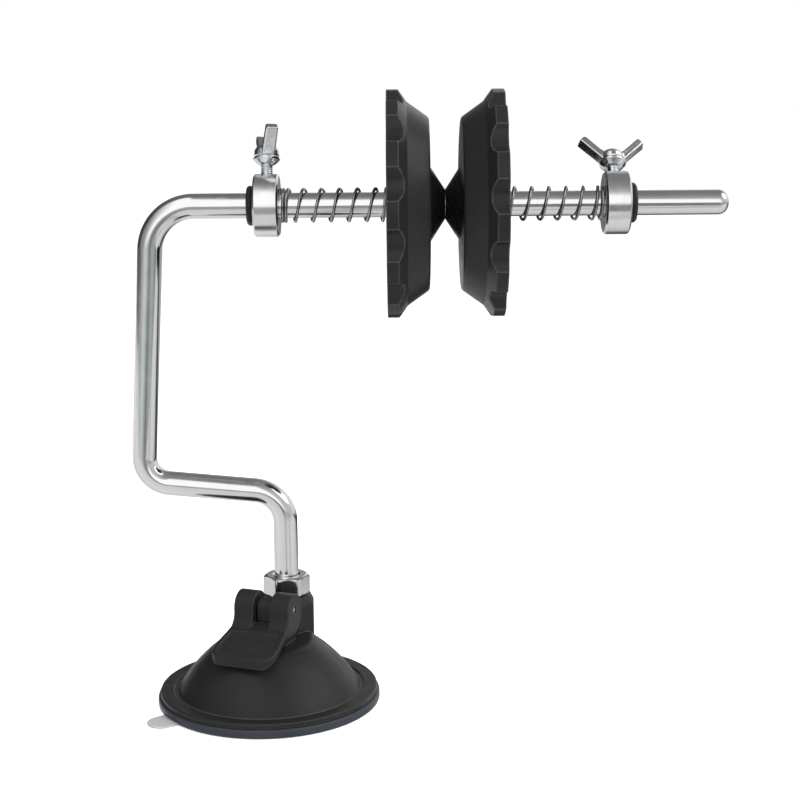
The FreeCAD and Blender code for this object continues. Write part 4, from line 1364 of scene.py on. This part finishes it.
    def scooped(self, radius: Array, _height: Array, angle: Array) -> Array:
        """The rim's scoops: the radius is kept inside the wall of the nearest scoop.

        From the nearest scoop's middle the wall of a round of radius s, centred at d, lies at
        d cos(a) - sqrt(s^2 - d^2 sin(a)^2). The smaller of the two radii is taken, with a soft knee.

        Args:
            radius: The plain radius.
            _height: The height, which changes nothing.
            angle: The angle round the cone.

        Returns:
            The scooped radius.
        """
        pitch, knee = TURN / self.scoops, self.scoop_knee
        off = np.mod(angle + pitch / 2, pitch) - pitch / 2
        inside = self.scoop_radius ** 2 - (self.scoop_centre * np.sin(off)) ** 2
        wall = np.where(inside > 0, self.scoop_centre * np.cos(off) - np.sqrt(np.maximum(inside, 0)), 60.0)
        blend = np.clip(0.5 + 0.5 * (radius - wall) / knee, 0, 1)
        kept = radius * (1 - blend) + wall * blend - knee * blend * (1 - blend) * 0.5
        return np.where(radius > wall - 2 * knee, kept, radius)

    def make_cone(self) -> None:
        """The taper cone: a turned wall with scoops in its rim, and ribs behind.

        The wall's section runs inside from the hub out, then round the rim, flank, face and nose.
        """
        length, radius, wall, hub = self.cone_length, self.cone_radius, self.cone_wall, self.hub
        face, face_edge = length - self.face_depth, radius - self.face_margin
        bush_end = self.recess + self.bush_length
        profile = rounded([
            (self.bush_radius, self.recess), (hub, self.recess, 0.3), (hub, face - wall, 1.0),
            (face_edge - 1.3, face - wall, 2.0), (radius - 6.5, self.rim + 1.3, 1.5),
            (radius - 6.5, 0.0, 0.3), (radius, 0.0, 0.3), (radius, self.rim, 0.25),
            (radius - 4.8, self.rim + 3.4, 0.6), (face_edge, face - 0.35, 1.6), (15.0, face, 0.5),
            (5.9, length, 0.1), (self.bore, length), (self.bore, bush_end), (self.bush_radius, bush_end)])
        pitch = 360 / self.scoops
        half = math.degrees(math.asin(self.scoop_radius / self.scoop_centre))
        fine = np.append(np.linspace(-half, half, 29)[:-1], np.linspace(half, pitch - half, 9)[:-1])
        angles = np.radians((fine + pitch * np.arange(self.scoops)[:, None]).ravel())
        cone = solid(lathe(densify(profile, 0.8), angles, self.scooped), Ends.JOINED)
        plan = rounded([(hub - 0.6, 4.0), (radius - 6.1, 4.0), (radius - 6.1, self.rim + 1.8),
                        (face_edge - 1.0, face - wall + 0.5), (hub - 0.6, face - wall + 0.5)])
        plate = slab(plan, -self.rib_width / 2, self.rib_width / 2, 0.3, 2)[..., PLAN_XZ]
        ribs = Shell()
        for index in range(self.ribs):
            ribs.add(plate @ turn_about(Z_AXIS, index * 360 / self.ribs).T)
        combine(cone, Joining.ADD, ribs.build())
        role = self.role("cone_moulding", "cone", "taper_cone", "black_plastic")
        finish_piece(cone, role, self.finishes.cone, 26.0, self.place("taper_cone", spin=self.scoop_turn))

    def build(self) -> None:
        """Makes every piece of the set."""
        self.make_ring()
        self.make_collar()
        self.make_screw()
        self.make_spring()
        self.make_small_tubes()
        self.make_cone()


# ---------------------------------------------------------------- studio


class Greys(Graph):
    """Shader nodes that turn a direction or a place into a grey."""

    def __init__(self, tree: bpy.types.NodeTree, output: str, peak: float = 1.0) -> None:
        """Starts on a world's or material's tree.

        Args:
            tree: The nodes' tree, which is emptied.
            output: The coordinate that gives x, y and z.
            peak: The grey that the shader's strength stands for.
        """
        super().__init__(tree)
        self.peak = peak
        self.nodes.clear()
        self.where = self.add("TexCoord", {}, output)
        self.x, self.y, self.z = self.add("SeparateXYZ", {0: self.where}).node.outputs

    def grey(self, source: Socket, stops: Stops) -> Socket:
        """A share of the peak for each value of the source."""
        return self.ramp(source, [(value, grey / self.peak) for value, grey in stops])

    def ramp(self, source: Socket, stops: Stops) -> Socket:
        """A number for each value of the source, by straight lines between the stops.

        Args:
            source: The value that is looked up.
            stops: Each (value, number), in rising order.

        Returns:
            The number, as a grey.
        """
        first, last = stops[0][0], stops[-1][0]
        result = self.add("ValToRGB", {"Fac": self.span(source, 0.0, 1.0, first, last)})
        elements = result.node.color_ramp.elements
        for index, (value, grey) in enumerate(stops):
            place = (value - first) / (last - first)
            stop = elements[index] if index < 2 else elements.new(place)
            stop.position = place
            stop.color = (grey, grey, grey, 1.0)
        return result

    def bearing(self, x: float, y: float) -> Socket:
        """The angle from straight ahead of a point on the floor, in radians, positive to the right."""
        return self.math("ARCTAN2", self.math("MULTIPLY_ADD", self.x, 1.0, -x),
                         self.math("MULTIPLY_ADD", self.y, -1.0, y))

    def glow(self, kind: str, strength: float, colour: Socket | tuple[float, ...] = (*WHITE, 1.0)) -> Socket:
        """An emission or background shader."""
        return self.add(kind, {"Color": colour, "Strength": strength})

    def choose(self, factor: Socket, low: Socket, high: Socket) -> Socket:
        """The first shader where the factor is 0 and the second where it is 1."""
        return self.add("MixShader", {0: factor, 1: low, 2: high})

    def show(self, kind: str, shader: Socket) -> None:
        """Makes the shader the material's or the world's own."""
        self.links.new(shader, self.nodes.new(f"ShaderNodeOutput{kind}").inputs["Surface"])


@dataclass
class Studio:
    """The camera, the pale floor, the soft lamps and the surroundings that metal shows."""

    eye: tuple[float, float, float] = (0.05432, -0.62400, 0.23866)
    lens: float = 72.16
    down: float = 10.467
    roll: float = -0.4816
    aim: tuple[float, float, float] = (0.06, 0.0, 0.12)
    floor_size: float = 60.0
    floor_drop: float = 0.0002
    floor_glow: float = 0.5
    sheet_front: float = -0.357
    sheet_drop: float = 0.0004
    stub: tuple[float, float] = (0.008, 0.017)
    softbox: float = 1.2
    brightest: float = 2.0
    band_tint: Colour = (0.93, 0.99, 1.0)

    def make_camera(self) -> None:
        """The camera looks along +Y, tilted down and rolled a little."""
        data = bpy.data.cameras.new("camera")
        data.lens = self.lens
        data.sensor_width = 36.0
        data.clip_start = 0.01
        data.clip_end = 200.0
        camera = add_object("camera", data)
        camera.matrix_world = (Matrix.Translation(self.eye)
                               @ Matrix.Rotation(math.radians(90 - self.down), 4, "X")
                               @ Matrix.Rotation(math.radians(self.roll), 4, "Z"))
        bpy.context.scene.camera = camera

    def make_sheet(self, name: str, low: Sequence[float], high: Sequence[float], drop: float) -> Object:
        """A level rectangle just below the object, from its low corner to its high one.

        Args:
            name: Its name and its material's.
            low: Its lowest x and y.
            high: Its highest x and y.
            drop: How far it lies below the ground.

        Returns:
            The sheet, with a material of its own.
        """
        mesh = bpy.data.meshes.new(name)
        corners = [(x, y, -drop) for x, y in ((low[0], low[1]), (high[0], low[1]), (high[0], high[1]),
                                              (low[0], high[1]))]
        mesh.from_pydata(corners, [], [(0, 1, 2, 3)])
        material = bpy.data.materials.new(name)
        material.use_nodes = True
        mesh.materials.append(material)
        sheet = add_object(name, mesh)
        return sheet

    def make_floor(self) -> None:
        """A pale floor that keeps a faint shadow and isn't seen in the metal."""
        half = self.floor_size / 2
        floor = self.make_sheet("pale floor", (-half, -half), (half, half), self.floor_drop)
        floor.visible_glossy = False
        greys = Greys(floor.data.materials[0].node_tree, "Object")
        seen = greys.add("LightPath", {}, "Is Camera Ray")
        lit = greys.choose(seen, greys.glow("Emission", 0.0), greys.glow("Emission", self.floor_glow))
        cloth = greys.add("BsdfDiffuse", {"Color": (0.9, 0.9, 0.9, 1.0)})
        greys.show("Material", greys.add("AddShader", {0: cloth, 1: lit}))

    def make_table(self) -> None:
        """The table top that metal and plastic show, a glowing sheet; it ends in front of the object. Behind
        the object its right side is dark: a painted shadow of the object.
        """
        table = self.make_sheet("table top", (-1.5, self.sheet_front), (1.5, 2.0), self.sheet_drop)
        for rays in ("camera", "diffuse", "transmission", "shadow"):
            setattr(table, f"visible_{rays}", False)
        greys = Greys(table.data.materials[0].node_tree, "Object")
        front = greys.ramp(greys.bearing(*self.stub), [
            (-math.pi, 0.85), (-1.85, 0.72), (-1.3, 0.84), (-0.4, 0.74), (-0.02, 0.72), (0.05, 0.48),
            (0.14, 0.48), (0.24, 0.7), (0.6, 0.74), (0.72, 0.55), (0.82, 0.55), (0.95, 0.78), (1.5, 0.74),
            (2.0, 0.6), (math.pi, 0.6)])
        # Behind the object the right side is dark: a painted shadow of the object on the table.
        back = greys.ramp(greys.x, [(-1.5, 1.0), (-0.05, 0.8), (0.1, 0.06), (1.5, 0.05)])
        behind = greys.ramp(greys.y, [(0.1, 0.0), (0.2, 1.0)])
        far = greys.ramp(greys.x, [(-1.5, 1.0), (0.0, 0.7), (0.2, 0.5), (1.5, 0.35)])
        beyond = greys.ramp(greys.y, [(0.4, 0.0), (0.5, 1.0)])
        around = greys.mix(beyond, greys.mix(behind, front, back), far)
        greys.show("Material", greys.glow("Emission", 1.0, around))

    def make_lamp(self, name: str, place: Sequence[float], size: float, watts: float) -> None:
        """A soft square lamp that faces the object's middle.

        Args:
            name: Its name.
            place: Where it hangs.
            size: Its side.
            watts: Its power.
        """
        data = bpy.data.lights.new(name, "AREA")
        data.shape = "SQUARE"
        data.size = size
        data.energy = watts
        lamp = add_object(name, data)
        turn = (Vector(self.aim) - Vector(place)).to_track_quat("-Z", "Y")
        lamp.matrix_world = Matrix.Translation(place) @ turn.to_matrix().to_4x4()
        lamp.visible_glossy = False

    def make_world(self) -> None:
        """Surroundings by direction: a broad soft box in front, darker gaps above and below it.

        The soft box's top edge slants down to the right. Below it a grey band runs round, which
        changes from left to right, and a strip lamp stands on the right. A round lamp hangs at the
        upper right. Behind the object the right is pale and the left is dark. The camera and clear
        plastic see plain white instead.
        """
        world = bpy.data.worlds.new("studio")
        bpy.context.scene.world = world
        world.use_nodes = True
        greys = Greys(world.node_tree, "Generated", self.brightest)
        ceiling = greys.grey(greys.z, [(0.4, 0.58), (0.54, 0.54), (0.75, 0.37), (0.9, 0.28), (1.0, 0.22)])
        softbox = greys.grey(greys.x, [(-0.85, 0.3), (-0.4, self.softbox), (1.0, self.softbox)])
        over = greys.ramp(greys.dot(greys.where, (1.44, 0.0, 1.0)), [(0.72, 0.0), (0.79, 1.0)])
        front_low = greys.grey(greys.x, [
            (-1.0, 0.15), (-0.96, 0.26), (-0.9, 0.4), (-0.8, 0.5), (-0.68, 0.6), (-0.5, 0.68), (-0.4, 0.64),
            (-0.245, 0.48), (-0.1, 0.4), (0.0, 0.3), (0.12, 0.19), (0.2, 0.25), (0.3, 0.38), (0.52, 0.42),
            (0.65, 0.48), (0.77, 0.32), (0.9, 0.26), (0.95, 0.3), (0.958, 1.3), (0.97, 1.3), (0.978, 0.45),
            (1.0, 0.3)])
        above = greys.ramp(greys.z, [(-0.045, 0.0), (-0.012, 1.0)])
        front = greys.mix(above, front_low, greys.mix(over, softbox, ceiling))
        back_high = greys.mix(
            greys.ramp(greys.z, [(0.45, 0.0), (0.7, 1.0)]),
            greys.grey(greys.x, [
                (-1.0, 0.06), (-0.4, 0.06), (-0.1, 0.25), (0.1, 0.7), (0.3, 0.95), (1.0, 0.75)]),
            greys.grey(greys.x, [(-1.0, 0.08), (1.0, 0.3)]))
        back_low = greys.grey(greys.x, [
            (-1.0, 0.15), (-0.4, 0.12), (0.2, 0.2), (0.6, 0.45), (0.85, 0.38), (1.0, 0.3)])
        back = greys.mix(above, back_low, back_high)
        behind = greys.ramp(greys.y, [(-0.12, 0.0), (0.12, 1.0)])
        lamp = greys.ramp(greys.dot(greys.where, (0.75, -0.08, 0.66)), [(0.9, 0.0), (0.96, 1.0)])
        around = greys.mix(lamp, greys.mix(behind, front, back), WHITE)
        tinted = greys.mix(1.0, around, greys.mix(above, self.band_tint, WHITE), "MULTIPLY")
        rays = greys.add("LightPath", {}).node.outputs
        plain = greys.math("MAXIMUM", rays["Is Camera Ray"], rays["Is Transmission Ray"])
        studio = greys.glow("Background", self.brightest, tinted)
        greys.show("World", greys.choose(plain, studio, greys.glow("Background", 1.0)))

    def build(self) -> None:
        """Sets up everything that isn't the object."""
        self.make_camera()
        self.make_floor()
        self.make_table()
        self.make_lamp("key", (0.75, -0.75, 0.75), 0.7, 14.0)
        self.make_lamp("fill", (-0.95, -0.35, 0.15), 0.7, 5.0)
        self.make_lamp("top", (0.0, 0.15, 1.1), 0.8, 8.0)
        self.make_world()
        bpy.context.scene.view_settings.view_transform = "Standard"


def main() -> None:
    """Builds the winder in order, with its studio."""
    logging.basicConfig(level=logging.INFO, format="%(name)s %(message)s", stream=sys.stdout)
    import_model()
    Studio().build()
    finishes = Finishes()
    SuctionBase(finishes).build()
    BentRod(finishes).build()
    ShaftSet(finishes, Side.LEFT, lean=14.5, wing_turn=-75.5, screw_rise=18.8, scoop_turn=16.7,
             spring_turns=8.3, closed_turns=1.6).build()
    ShaftSet(finishes, Side.RIGHT, lean=38.7, wing_turn=5.0, screw_rise=19.1, scoop_turn=7.0,
             spring_turns=7.3, closed_turns=0.6).build()


if __name__ == "__main__":
    main()
